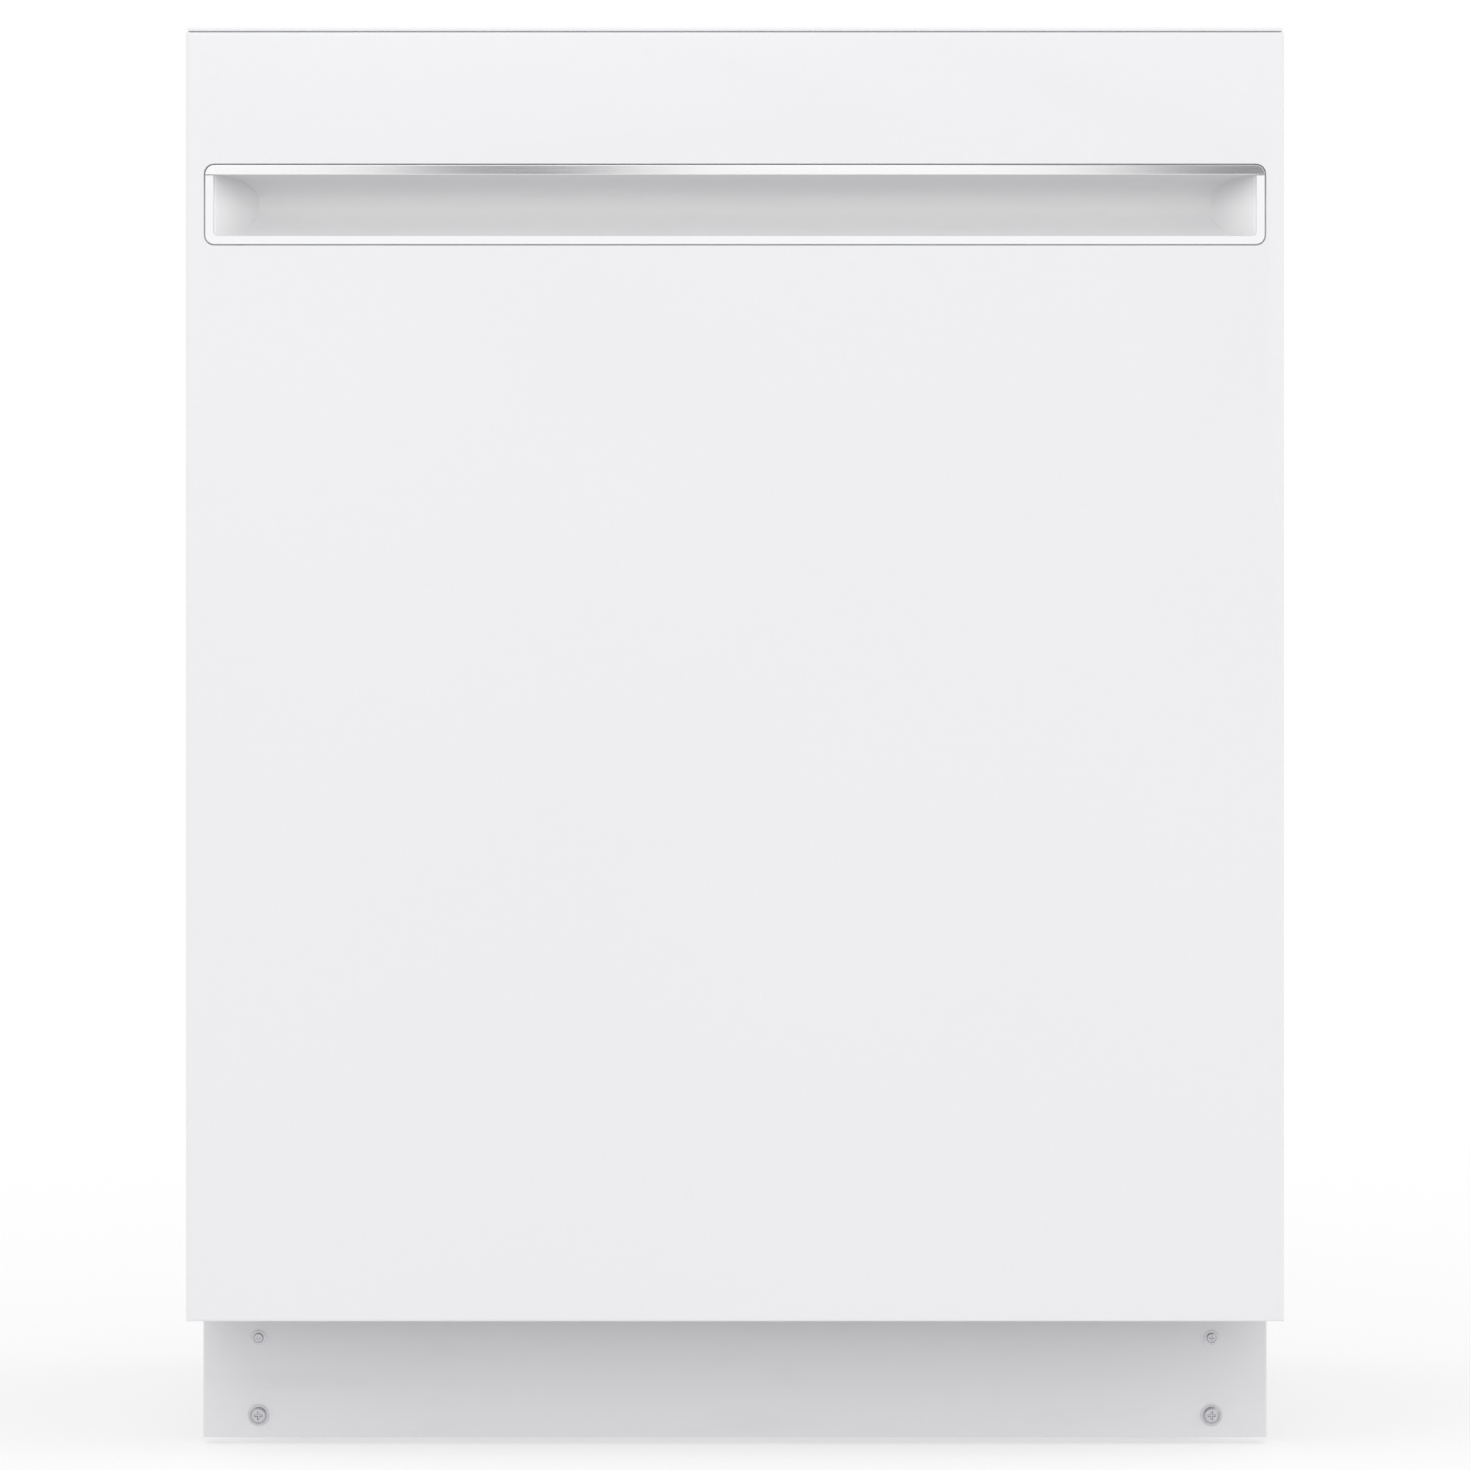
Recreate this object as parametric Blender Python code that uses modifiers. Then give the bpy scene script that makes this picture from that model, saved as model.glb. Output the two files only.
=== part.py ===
"""Built-in dishwasher, 24 inch class, with a white front and a pocket handle.

Units are metres and +Z is up. The door faces -Y and X runs across the machine, with left at -X.
The origin is on the floor, under the middle of the machine. Everything stands at rest, door shut.
"""

import math

import bmesh
import bpy
from mathutils import Vector

# ---------------------------------------------------------------- driving dimensions
WIDTH = 0.603  # door, side to side
DEPTH = 0.610  # door front to the rear of the base
DOOR_BOTTOM = 0.075  # floor to the door's lower edge
PANEL_HEIGHT = 0.708  # painted door panel
FASCIA_RISE = 0.003  # control fascia above the panel's upper edge
DOOR_THICK = 0.055  # door front to the liner's inner face
GAP = 0.0004  # air between pieces that touch on the real machine
SHEET = 0.0010  # sheet steel of the door
TUB_WALL = 0.0010
SIDE_ROOM = 0.0155  # between the tub's side and the edge of the door
SEAL_SPACE = 0.0070  # liner to the tub's front flange
TUB_BOTTOM = 0.128
TUB_BELOW_TOP = 0.020
TUB_BEFORE_REAR = 0.015

FRONT, REAR = -DEPTH / 2, DEPTH / 2
HALF = WIDTH / 2
PANEL_TOP = DOOR_BOTTOM + PANEL_HEIGHT
TOP = PANEL_TOP + FASCIA_RISE
LINER_REAR = FRONT + DOOR_THICK
TUB_FRONT = LINER_REAR + SEAL_SPACE
TUB_REAR = REAR - TUB_BEFORE_REAR
TUB_HALF = HALF - SIDE_ROOM
TUB_TOP = TOP - TUB_BELOW_TOP
FLOOR = TUB_BOTTOM + TUB_WALL  # inside of the tub
CEILING = TUB_TOP - TUB_WALL
INNER_HALF = TUB_HALF - TUB_WALL
INNER_REAR = TUB_REAR - TUB_WALL

# Door hinge, and the arm that pulls the counterbalance springs
HINGE = Vector((0, FRONT + 0.043, DOOR_BOTTOM + 0.025))
PIVOT_RADIUS = 0.0050
PIVOT_CLEARANCE = 0.0004
ARM_REACH = 0.050  # pivot to the spring pin
SPRING_PIN_RADIUS = 0.0025
ARM_INNER, ARM_OUTER = HALF - 0.0060, HALF - 0.0030
LINK_INNER, LINK_OUTER = HALF - 0.0100, HALF - 0.0075
SPRING_X = (LINK_INNER + LINK_OUTER) / 2
EAR_INNER, EAR_OUTER = HALF - 0.0155, HALF - 0.0125

# Middle of the tub, where the spray arms turn
SPIN_Y = 0.020


# ---------------------------------------------------------------- helpers
def start_clean():
    for obj in list(bpy.data.objects):
        bpy.data.objects.remove(obj, do_unlink=True)
    made = []
    for name in ("dishwasher", "cutters"):
        collection = bpy.data.collections.new(name)
        bpy.context.scene.collection.children.link(collection)
        made.append(collection)
    return made


PIECES, CUTTERS = start_clean()


def finish(name, colour, roughness, metallic=0.0):
    made = bpy.data.materials.new(name)
    made.use_nodes = True
    shader = made.node_tree.nodes["Principled BSDF"]
    shader.inputs["Base Color"].default_value = (*colour, 1)
    shader.inputs["Roughness"].default_value = roughness
    shader.inputs["Metallic"].default_value = metallic
    return made


WHITE_PAINT = finish("white_paint", (0.88, 0.88, 0.90), 0.35)
KICK_PAINT = finish("kick_paint", (0.80, 0.80, 0.81), 0.45)
WHITE_PLASTIC = finish("white_plastic", (0.86, 0.86, 0.88), 0.40)
POLISHED_TRIM = finish("polished_trim", (0.85, 0.85, 0.86), 0.15, 1.0)
STAINLESS = finish("stainless", (0.62, 0.62, 0.63), 0.30, 1.0)
ZINC = finish("zinc_steel", (0.60, 0.61, 0.63), 0.45, 1.0)
SPRING_STEEL = finish("spring_steel", (0.45, 0.46, 0.48), 0.35, 1.0)
GREY_PLASTIC = finish("grey_plastic", (0.52, 0.54, 0.56), 0.50)
DARK_PLASTIC = finish("dark_plastic", (0.06, 0.06, 0.07), 0.50)
RACK_VINYL = finish("rack_vinyl", (0.42, 0.44, 0.46), 0.40)
RUBBER = finish("seal_rubber", (0.10, 0.10, 0.11), 0.70)
FELT = finish("sound_felt", (0.30, 0.30, 0.31), 0.95)
BITUMEN = finish("bitumen", (0.05, 0.05, 0.05), 0.80)
CIRCUIT = finish("circuit_green", (0.04, 0.22, 0.10), 0.45)
SMOKED = finish("smoked_lens", (0.08, 0.08, 0.09), 0.10)


def place(name, mesh, look, where=(0, 0, 0)):
    mesh.materials.clear()
    mesh.materials.append(look)
    obj = bpy.data.objects.new(name, mesh)
    obj.location = where
    PIECES.objects.link(obj)
    return obj


def mesh_of(name, shape):
    mesh = bpy.data.meshes.new(name)
    shape.to_mesh(mesh)
    shape.free()
    return mesh


def block(name, low, high, look, radius=0.0, along=None, segments=2):
    """A box between two corners. Its edges parallel to the axes in along are rounded."""
    low, high = Vector(low), Vector(high)
    shape = bmesh.new()
    bmesh.ops.create_cube(shape, size=1.0)
    bmesh.ops.scale(shape, vec=high - low, verts=shape.verts)
    if radius:
        axes = ["xyz".index(a) for a in along or "xyz"]
        lengths = [(e, e.verts[0].co - e.verts[1].co) for e in shape.edges]
        chosen = [e for e, run in lengths if any(abs(run[a]) > 1e-6 for a in axes)]
        bmesh.ops.bevel(
            shape, geom=chosen, offset=radius, segments=segments, profile=0.5, affect="EDGES"
        )
    return place(name, mesh_of(name, shape), look, (low + high) / 2)


def rod(name, start, end, radius, look, sides=16, end_radius=None):
    """A cylinder, or a cone where end_radius is given, between two points."""
    start, end = Vector(start), Vector(end)
    shape = bmesh.new()
    bmesh.ops.create_cone(
        shape,
        cap_ends=True,
        segments=sides,
        radius1=radius,
        radius2=radius if end_radius is None else end_radius,
        depth=(end - start).length,
    )
    turn = (end - start).to_track_quat("Z", "Y")
    bmesh.ops.rotate(shape, verts=shape.verts, matrix=turn.to_matrix())
    return place(name, mesh_of(name, shape), look, (start + end) / 2)


def turned(name, profile, look, where, steps=24, towards="Z"):
    """Turns (radius, height) points, given from the top of the axis round to its bottom."""
    mesh = bpy.data.meshes.new(name)
    points = [(r, 0, h) for r, h in profile]
    mesh.from_pydata(points, [(i, i + 1) for i in range(len(points) - 1)], [])
    obj = place(name, mesh, look, where)
    if towards == "X":
        obj.rotation_euler = (0, math.radians(90), 0)
    screw = obj.modifiers.new("turn", "SCREW")
    screw.axis = "Z"
    screw.angle = math.radians(360)
    screw.steps = screw.render_steps = steps
    screw.use_merge_vertices = True
    screw.merge_threshold = 0.00001
    return obj


def hull(name, points, look):
    """The convex solid round a set of points."""
    shape = bmesh.new()
    for point in points:
        shape.verts.new(point)
    bmesh.ops.remove_doubles(shape, verts=shape.verts, dist=0.00001)
    found = bmesh.ops.convex_hull(shape, input=shape.verts)
    loose = {v for v in found["geom_interior"] + found["geom_unused"] if v.is_valid}
    bmesh.ops.delete(shape, geom=list(loose), context="VERTS")
    bmesh.ops.recalc_face_normals(shape, faces=shape.faces)
    bmesh.ops.dissolve_limit(
        shape, angle_limit=math.radians(0.5), verts=shape.verts, edges=shape.edges
    )
    return place(name, mesh_of(name, shape), look)


def side_plate(name, discs, x_low, x_high, look, sides=16):
    """A flat link across X: the hull of (y, z, radius) discs."""
    points = []
    for y, z, radius in discs:
        for step in range(sides):
            turn = 2 * math.pi * step / sides
            for x in (x_low, x_high):
                points.append((x, y + radius * math.cos(turn), z + radius * math.sin(turn)))
    return hull(name, points, look)


def wire_curve(name, points, radius, look, resolution=0, closed=False):
    curve = bpy.data.curves.new(name, "CURVE")
    curve.dimensions = "3D"
    curve.bevel_depth = radius
    curve.bevel_resolution = resolution
    curve.use_fill_caps = True
    spline = curve.splines.new("POLY")
    spline.points.add(len(points) - 1)
    for point, where in zip(spline.points, points):
        point.co = (*where, 1)
    spline.use_cyclic_u = closed
    obj = bpy.data.objects.new(name, curve)
    PIECES.objects.link(obj)
    curve.materials.append(look)
    return obj


def outline_curve(name, points, low, high, look):
    """A flat outline in X and Y, filled and raised from low to high."""
    curve = bpy.data.curves.new(name, "CURVE")
    curve.dimensions = "2D"
    curve.fill_mode = "BOTH"
    curve.extrude = (high - low) / 2
    spline = curve.splines.new("POLY")
    spline.points.add(len(points) - 1)
    for point, (x, y) in zip(spline.points, points):
        point.co = (x, y, 0, 1)
    spline.use_cyclic_u = True
    obj = bpy.data.objects.new(name, curve)
    obj.location = (0, 0, (low + high) / 2)
    PIECES.objects.link(obj)
    curve.materials.append(look)
    return obj


def as_meshes(curves):
    """Turns curve objects into closed mesh objects, so that Booleans can use them."""
    bpy.context.view_layer.update()
    graph = bpy.context.evaluated_depsgraph_get()
    made = []
    for curve in curves:
        mesh = bpy.data.meshes.new_from_object(curve.evaluated_get(graph))
        shape = bmesh.new()
        shape.from_mesh(mesh)
        bmesh.ops.remove_doubles(shape, verts=shape.verts, dist=0.00001)
        bmesh.ops.recalc_face_normals(shape, faces=shape.faces)
        shape.to_mesh(mesh)
        shape.free()
        name, where = curve.name, curve.matrix_world.copy()
        look = curve.data.materials[0]
        bpy.data.objects.remove(curve, do_unlink=True)
        solid = place(name, mesh, look)
        solid.name = name
        solid.matrix_world = where
        made.append(solid)
    return made


def boolean(target, tools, operation):
    """Joins or cuts with every tool at once, through one collection."""
    group = bpy.data.collections.new(f"{target.name}_{operation.lower()}")
    CUTTERS.children.link(group)
    for tool in tools:
        PIECES.objects.unlink(tool)
        group.objects.link(tool)
        tool.hide_render = True
        tool.display_type = "WIRE"
    step = target.modifiers.new(operation.lower(), "BOOLEAN")
    step.operation = operation
    step.solver = "EXACT"
    step.operand_type = "COLLECTION"
    step.collection = group
    return target


def join(target, *tools):
    return boolean(target, tools, "UNION")


def cut(target, *tools):
    return boolean(target, tools, "DIFFERENCE")


def pivot(name, where):
    """An empty on a joint's axis, which its moving pieces are parented to."""
    empty = bpy.data.objects.new(name, None)
    empty.location = where
    PIECES.objects.link(empty)
    return empty


def hang(empty, *objects):
    bpy.context.view_layer.update()
    for obj in objects:
        obj.parent = empty
        obj.matrix_parent_inverse = empty.matrix_world.inverted()


SIDES = (("left", -1), ("right", 1))


def between(side, inner, outer):
    """Low and high X of a piece that lies from inner to outer on one side."""
    return (inner, outer) if side > 0 else (-outer, -inner)


# ---------------------------------------------------------------- tub
SUMP_HOLE = 0.098
FLANGE_LOW = 0.122
FLANGE_HALF = TUB_HALF + 0.0030
TUBE_RADIUS = 0.011
TUBE_START_Y = SPIN_Y + SUMP_HOLE + 0.0300
HEATER_FEET = [(-0.032, SPIN_Y + 0.150), (0.032, SPIN_Y + 0.150)]
HEATER_RADIUS = 0.0040
FLOAT_AT = (-INNER_HALF + 0.0845, TUB_FRONT + 0.093)
FLOAT_STEM = 0.0045
TUB_CORNER = 0.010


def make_tub():
    tub = block(
        "tub", (-TUB_HALF, TUB_FRONT - 0.03, TUB_BOTTOM), (TUB_HALF, TUB_REAR, TUB_TOP), STAINLESS,
        TUB_CORNER, "xyz",
    )
    # The box is rounded all over, and trimmed square where its front is open.
    cut(tub, block("tub_trim", (-HALF, FRONT, 0), (HALF, TUB_FRONT, TOP), STAINLESS))
    flange = block(
        "tub_flange", (-FLANGE_HALF, TUB_FRONT, FLANGE_LOW),
        (FLANGE_HALF, TUB_FRONT + 0.002, TUB_TOP + 0.006), STAINLESS, 0.004, "y",
    )
    inside = block(
        "tub_inside", (-INNER_HALF, TUB_FRONT - 0.05, FLOOR), (INNER_HALF, INNER_REAR, CEILING),
        STAINLESS, TUB_CORNER - TUB_WALL, "xyz",
    )
    holes = [
        rod("sump_hole", (0, SPIN_Y, TUB_BOTTOM - 0.01), (0, SPIN_Y, FLOOR + 0.01),
            SUMP_HOLE, STAINLESS, 32),
        rod("float_hole", (*FLOAT_AT, TUB_BOTTOM - 0.01), (*FLOAT_AT, FLOOR + 0.01),
            FLOAT_STEM + 0.001, STAINLESS, 10),
        rod("tube_hole", (0, TUBE_START_Y, TUB_BOTTOM - 0.01), (0, TUBE_START_Y, FLOOR + 0.01),
            TUBE_RADIUS + 0.001, STAINLESS, 16),
    ]
    for i, foot in enumerate(HEATER_FEET):
        holes.append(
            rod(f"heater_hole_{i}", (*foot, TUB_BOTTOM - 0.01), (*foot, FLOOR + 0.01),
                HEATER_RADIUS + 0.001, STAINLESS, 10)
        )
    join(tub, flange)
    cut(tub, inside, *holes)


# ---------------------------------------------------------------- base, legs and kick plate
RAIL_LOW, RAIL_HIGH = 0.045, 0.075
RAIL_INNER, RAIL_OUTER = TUB_HALF - 0.024, TUB_HALF - 0.002
RAIL_SHEET = 0.0025
BASE_FRONT = FRONT + 0.090
KICK_BACK = 0.075  # kick plate behind the door's front
KICK_HALF = HALF - 0.0035
KICK_LOW, KICK_HIGH = 0.0035, 0.090
KICK_SHEET = 0.0015
KICK_FRONT = FRONT + KICK_BACK
SCREW_X = HALF - 0.0345
SCREWS = {"upper": (0.0592, 0.0031, 0.0012), "lower": (0.0158, 0.0050, 0.0020)}
SCREW_SHANK = 0.0018
POST_YS, POST_LONG = (BASE_FRONT + 0.004, REAR - 0.060), 0.036
LEG_X = RAIL_INNER - 0.010
LEG_YS = {"front": BASE_FRONT + 0.035, "rear": REAR - 0.045}
LEG_RADIUS, LEG_BORE = 0.0050, 0.0056
LEG_TOP = 0.095
SPRING_Z = HINGE.z + ARM_REACH * math.sin(math.radians(45))
SPRING_REAR_Y = FRONT + 0.355


def rail_hollows():
    """The rails are channels and the posts are boxes, all open below."""
    inset = Vector((RAIL_SHEET, RAIL_SHEET, 0))
    lows_and_highs = [
        ((-RAIL_OUTER, BASE_FRONT), (RAIL_OUTER, BASE_FRONT + 0.020), RAIL_HIGH),
        ((-RAIL_OUTER, REAR - 0.020), (RAIL_OUTER, REAR), RAIL_HIGH),
    ]
    for _, side in SIDES:
        low, high = between(side, RAIL_INNER, RAIL_OUTER)
        lows_and_highs.append(((low, BASE_FRONT), (high, REAR), RAIL_HIGH))
        for y in POST_YS:
            lows_and_highs.append(((low, y), (high, y + POST_LONG), TUB_BOTTOM - GAP))
    return [
        block("rail_hollow", Vector((*a, RAIL_LOW - 0.01)) + inset,
              Vector((*b, top - RAIL_SHEET)) - inset, ZINC)
        for a, b, top in lows_and_highs
    ]


def make_base():
    rail_ys = (BASE_FRONT, REAR)
    base = block(
        "base_frame", (-RAIL_OUTER, BASE_FRONT, RAIL_LOW),
        (RAIL_OUTER, BASE_FRONT + 0.020, RAIL_HIGH), ZINC,
    )
    parts = [
        block("rear_bar", (-RAIL_OUTER, REAR - 0.020, RAIL_LOW), (RAIL_OUTER, REAR, RAIL_HIGH), ZINC)
    ]
    bores = []
    post_top = TUB_BOTTOM - GAP
    for word, side in SIDES:
        low, high = between(side, RAIL_INNER, RAIL_OUTER)
        parts.append(
            block(f"rail_{word}", (low, rail_ys[0], RAIL_LOW), (high, rail_ys[1], RAIL_HIGH), ZINC)
        )
        for y in POST_YS:
            parts.append(
                block(f"post_{word}", (low, y, RAIL_HIGH - 0.005), (high, y + POST_LONG, post_top), ZINC)
            )
        for y in LEG_YS.values():
            x = side * LEG_X
            parts.append(
                rod(f"boss_{word}", (x, y, RAIL_LOW - 0.005), (x, y, RAIL_HIGH + 0.003), 0.014, ZINC, 12)
            )
            bores.append(
                rod(f"bore_{word}", (x, y, RAIL_LOW - 0.02), (x, y, RAIL_HIGH + 0.02), LEG_BORE, ZINC,
                    12)
            )
        # The ear reaches forward over the door's swinging lower edge and carries the hinge pin.
        ear_low, ear_high = between(side, EAR_INNER, EAR_OUTER)
        parts.append(
            block(f"ear_{word}", (ear_low, HINGE.y, HINGE.z - 0.0035),
                  (ear_high, BASE_FRONT + 0.040, FLANGE_LOW - 0.0035), ZINC)
        )
        parts.append(
            rod(f"ear_nose_{word}", (ear_low, HINGE.y, HINGE.z + 0.004),
                (ear_high, HINGE.y, HINGE.z + 0.004), 0.0115, ZINC, 16)
        )
        pin_low, pin_high = between(side, EAR_INNER + 0.001, ARM_OUTER + 0.0010)
        parts.append(
            rod(f"hinge_pin_{word}", (pin_low, HINGE.y, HINGE.z), (pin_high, HINGE.y, HINGE.z),
                PIVOT_RADIUS, ZINC, 16)
        )
        root_low, root_high = between(side, RAIL_OUTER - 0.010, EAR_OUTER)
        parts.append(
            block(f"ear_root_{word}", (root_low, BASE_FRONT + 0.004, RAIL_HIGH - 0.012),
                  (root_high, BASE_FRONT + 0.038, FLANGE_LOW - 0.0035), ZINC)
        )
        # Anchor for the counterbalance spring, stepped out past the tub's side.
        low, high = between(side, RAIL_INNER, ARM_OUTER)
        parts.append(
            block(f"anchor_foot_{word}", (low, SPRING_REAR_Y, RAIL_LOW + 0.004),
                  (high, SPRING_REAR_Y + 0.004, post_top - 0.001), ZINC)
        )
        low, high = between(side, TUB_HALF + 0.0012, ARM_OUTER)
        parts.append(
            block(f"anchor_{word}", (low, SPRING_REAR_Y, post_top - 0.01),
                  (high, SPRING_REAR_Y + 0.004, SPRING_Z + 0.009), ZINC)
        )
        # Tab that the kick plate is screwed to.
        x = side * SCREW_X
        tab_back = BASE_FRONT + 0.004
        tab_front = KICK_FRONT + KICK_SHEET + GAP
        parts.append(
            block(f"tab_{word}", (x - 0.009, tab_front, KICK_LOW + 0.003),
                  (x + 0.009, tab_front + 0.002, RAIL_HIGH + 0.008), ZINC)
        )
        parts.append(
            block(f"tab_foot_{word}", (x - 0.009, tab_front + 0.001, RAIL_LOW + 0.022),
                  (x + 0.009, tab_back, RAIL_HIGH - 0.002), ZINC)
        )
        for z, _, _ in SCREWS.values():
            bores.append(
                rod(f"tab_hole_{word}", (x, tab_front - 0.01, z), (x, tab_front + 0.008, z),
                    SCREW_SHANK + 0.0004, ZINC, 10)
            )
    join(base, *parts)
    cut(base, *bores, *rail_hollows())


def make_kick_plate():
    kick = block(
        "toe_kick", (-KICK_HALF, KICK_FRONT, KICK_LOW), (KICK_HALF, KICK_FRONT + 0.018, KICK_HIGH),
        KICK_PAINT, 0.0012, "z",
    )
    hollow = block(
        "kick_hollow", (-KICK_HALF + KICK_SHEET, KICK_FRONT + KICK_SHEET, KICK_LOW - 0.01),
        (KICK_HALF - KICK_SHEET, KICK_FRONT + 0.03, KICK_HIGH + 0.01), KICK_PAINT,
    )
    holes = []
    for word, side in SIDES:
        for row, (z, head, rise) in SCREWS.items():
            x = side * SCREW_X
            holes.append(
                rod("screw_hole", (x, KICK_FRONT - 0.01, z), (x, KICK_FRONT + 0.01, z),
                    SCREW_SHANK + 0.0005, KICK_PAINT, 10)
            )
            make_screw(f"kick_screw_{row}_{word}", x, z, head, rise)
    cut(kick, hollow, *holes)


def make_screw(name, x, z, head, rise):
    """A cross-head screw that points along +Y through the kick plate."""
    seat = KICK_FRONT - 0.0003
    screw = rod(name, (x, seat, z), (x, seat - rise, z), head, ZINC, 16, head * 0.72)
    shank = rod("shank", (x, seat - rise / 2, z), (x, seat + 0.0065, z), SCREW_SHANK, ZINC, 10)
    long, short = head * 0.45, head * 0.10
    depth = seat - rise * 0.45
    slots = [
        block("slot", (x - a, seat - rise - 0.001, z - b), (x + a, depth, z + b), ZINC)
        for a, b in ((long, short), (short, long))
    ]
    join(screw, shank)
    cut(screw, *slots)


def make_legs():
    for end, y in LEG_YS.items():
        for word, side in SIDES:
            x = side * LEG_X
            name = f"leg_{end}_{word}"
            profile = [
                (0, LEG_TOP), (LEG_RADIUS, LEG_TOP), (LEG_RADIUS, 0.016), (0.009, 0.015),
                (0.011, 0.009), (0.018, 0.006), (0.018, 0.001), (0.017, 0), (0, 0),
            ]
            leg = turned(name, profile, ZINC, (x, y, 0), 16)
            hang(pivot(f"{name}_axis", (x, y, 0)), leg)


# ---------------------------------------------------------------- below the tub
SUMP_BOTTOM = 0.055
SUMP_RADIUS = 0.1015
HUB_RADIUS = 0.014
HUB_TOP = FLOOR + 0.0405
PUMP_Z = 0.082
PUMP_X = SUMP_RADIUS + 0.0110


def make_sump():
    wall = 0.0025
    brim = SUMP_RADIUS + 0.010
    high = TUB_BOTTOM - GAP
    inner = SUMP_RADIUS - wall
    profile = [
        (0, HUB_TOP), (HUB_RADIUS, HUB_TOP), (HUB_RADIUS, SUMP_BOTTOM + wall),
        (inner * 0.55, SUMP_BOTTOM + wall), (inner, SUMP_BOTTOM + 0.022), (inner, high),
        (brim, high), (brim, high - wall), (SUMP_RADIUS, high - wall),
        (SUMP_RADIUS, SUMP_BOTTOM + 0.021), (SUMP_RADIUS * 0.56, SUMP_BOTTOM), (0, SUMP_BOTTOM),
    ]
    sump = turned("sump", profile, GREY_PLASTIC, (0, SPIN_Y, 0), 20)
    # Spigots for the wash pump on the right and the drain pump on the left.
    right = rod("wash_spigot", (SUMP_RADIUS - 0.002, SPIN_Y, PUMP_Z),
                (PUMP_X - GAP, SPIN_Y, PUMP_Z), 0.018, GREY_PLASTIC, 16)
    left = rod("drain_spigot", (-SUMP_RADIUS + 0.002, SPIN_Y, PUMP_Z),
               (-PUMP_X + GAP, SPIN_Y, PUMP_Z), 0.014, GREY_PLASTIC, 16)
    join(sump, right, left)
    cut(
        sump,
        rod("wash_way", (SUMP_RADIUS - 0.006, SPIN_Y, PUMP_Z), (PUMP_X + 0.01, SPIN_Y, PUMP_Z),
            0.015, GREY_PLASTIC, 16),
        rod("drain_way", (-SUMP_RADIUS + 0.006, SPIN_Y, PUMP_Z), (-PUMP_X - 0.01, SPIN_Y, PUMP_Z),
            0.011, GREY_PLASTIC, 16),
    )


VOLUTE_RADIUS = 0.041
VOLUTE_LONG = 0.026
VOLUTE_WALL = 0.003
IMPELLER_RADIUS = 0.032


def make_wash_pump():
    x, y, z = PUMP_X, SPIN_Y, PUMP_Z
    motor_end = x + VOLUTE_LONG + 0.085
    pump = rod("wash_pump", (x, y, z), (x + VOLUTE_LONG, y, z), VOLUTE_RADIUS, DARK_PLASTIC, 24)
    join(
        pump,
        rod("motor", (x + VOLUTE_LONG - 0.002, y, z), (motor_end, y, z), 0.034, DARK_PLASTIC, 20),
        rod("motor_nose", (motor_end - 0.002, y, z), (motor_end + 0.008, y, z), 0.018,
            DARK_PLASTIC, 16),
        rod("outlet", (x + 0.013, y + 0.025, z), (x + 0.013, y + 0.075, z), 0.012,
            DARK_PLASTIC, 12),
    )
    cut(
        pump,
        rod("volute_room", (x + VOLUTE_WALL, y, z), (x + VOLUTE_LONG - VOLUTE_WALL, y, z),
            VOLUTE_RADIUS - VOLUTE_WALL, DARK_PLASTIC, 24),
        rod("inlet_way", (x - 0.01, y, z), (x + 0.01, y, z), 0.015, DARK_PLASTIC, 16),
        rod("outlet_way", (x + 0.013, y + 0.020, z), (x + 0.013, y + 0.080, z), 0.009,
            DARK_PLASTIC, 12),
    )
    low, high = x + VOLUTE_WALL + 0.002, x + VOLUTE_LONG - VOLUTE_WALL - 0.002
    impeller = rod("pump_impeller", (high - 0.003, y, z), (high, y, z), IMPELLER_RADIUS,
                   GREY_PLASTIC, 20)
    vanes = []
    for turn in range(3):
        angle = math.pi * turn / 3
        vane = block("vane", (low, -IMPELLER_RADIUS + 0.003, -0.0012),
                     (high - 0.001, IMPELLER_RADIUS - 0.003, 0.0012), GREY_PLASTIC)
        vane.location = (vane.location.x, y, z)
        vane.rotation_euler = (angle, 0, 0)
        vanes.append(vane)
    join(impeller, *vanes, rod("eye", (low, y, z), (high, y, z), 0.007, GREY_PLASTIC, 12))
    hang(pivot("impeller_axis", (x, y, z)), impeller)


def make_drain_pump():
    x, y, z = -PUMP_X, SPIN_Y, PUMP_Z
    pump = rod("drain_pump", (x, y, z), (x - 0.018, y, z), 0.030, DARK_PLASTIC, 20)
    join(
        pump,
        rod("drain_motor", (x - 0.016, y, z), (x - 0.066, y, z), 0.024, DARK_PLASTIC, 16),
        rod("drain_outlet", (x - 0.0105, y, z - 0.008), (x - 0.0105, y + 0.060, z - 0.008), 0.0095,
            DARK_PLASTIC, 12),
    )
    cut(
        pump,
        rod("drain_in", (x + 0.01, y, z), (x - 0.012, y, z), 0.011, DARK_PLASTIC, 16),
        rod("drain_out", (x - 0.0105, y + 0.02, z - 0.008), (x - 0.0105, y + 0.07, z - 0.008),
            0.0070, DARK_PLASTIC, 12),
    )


def make_inlet_valve():
    front = BASE_FRONT + 0.020 + GAP
    x, z = -(LEG_X - 0.040), 0.060
    valve = block("inlet_valve", (x - 0.016, front, z - 0.014), (x + 0.016, front + 0.030, z + 0.014),
                  WHITE_PLASTIC, 0.003, "z")
    join(
        valve,
        rod("solenoid", (x, front + 0.015, z + 0.010), (x, front + 0.015, z + 0.046), 0.0115,
            DARK_PLASTIC, 14),
        rod("thread", (x, front + 0.028, z), (x, front + 0.050, z), 0.0130, WHITE_PLASTIC, 16),
    )
    cut(valve, rod("thread_way", (x, front + 0.020, z), (x, front + 0.06, z), 0.0095,
                   WHITE_PLASTIC, 12))


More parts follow.
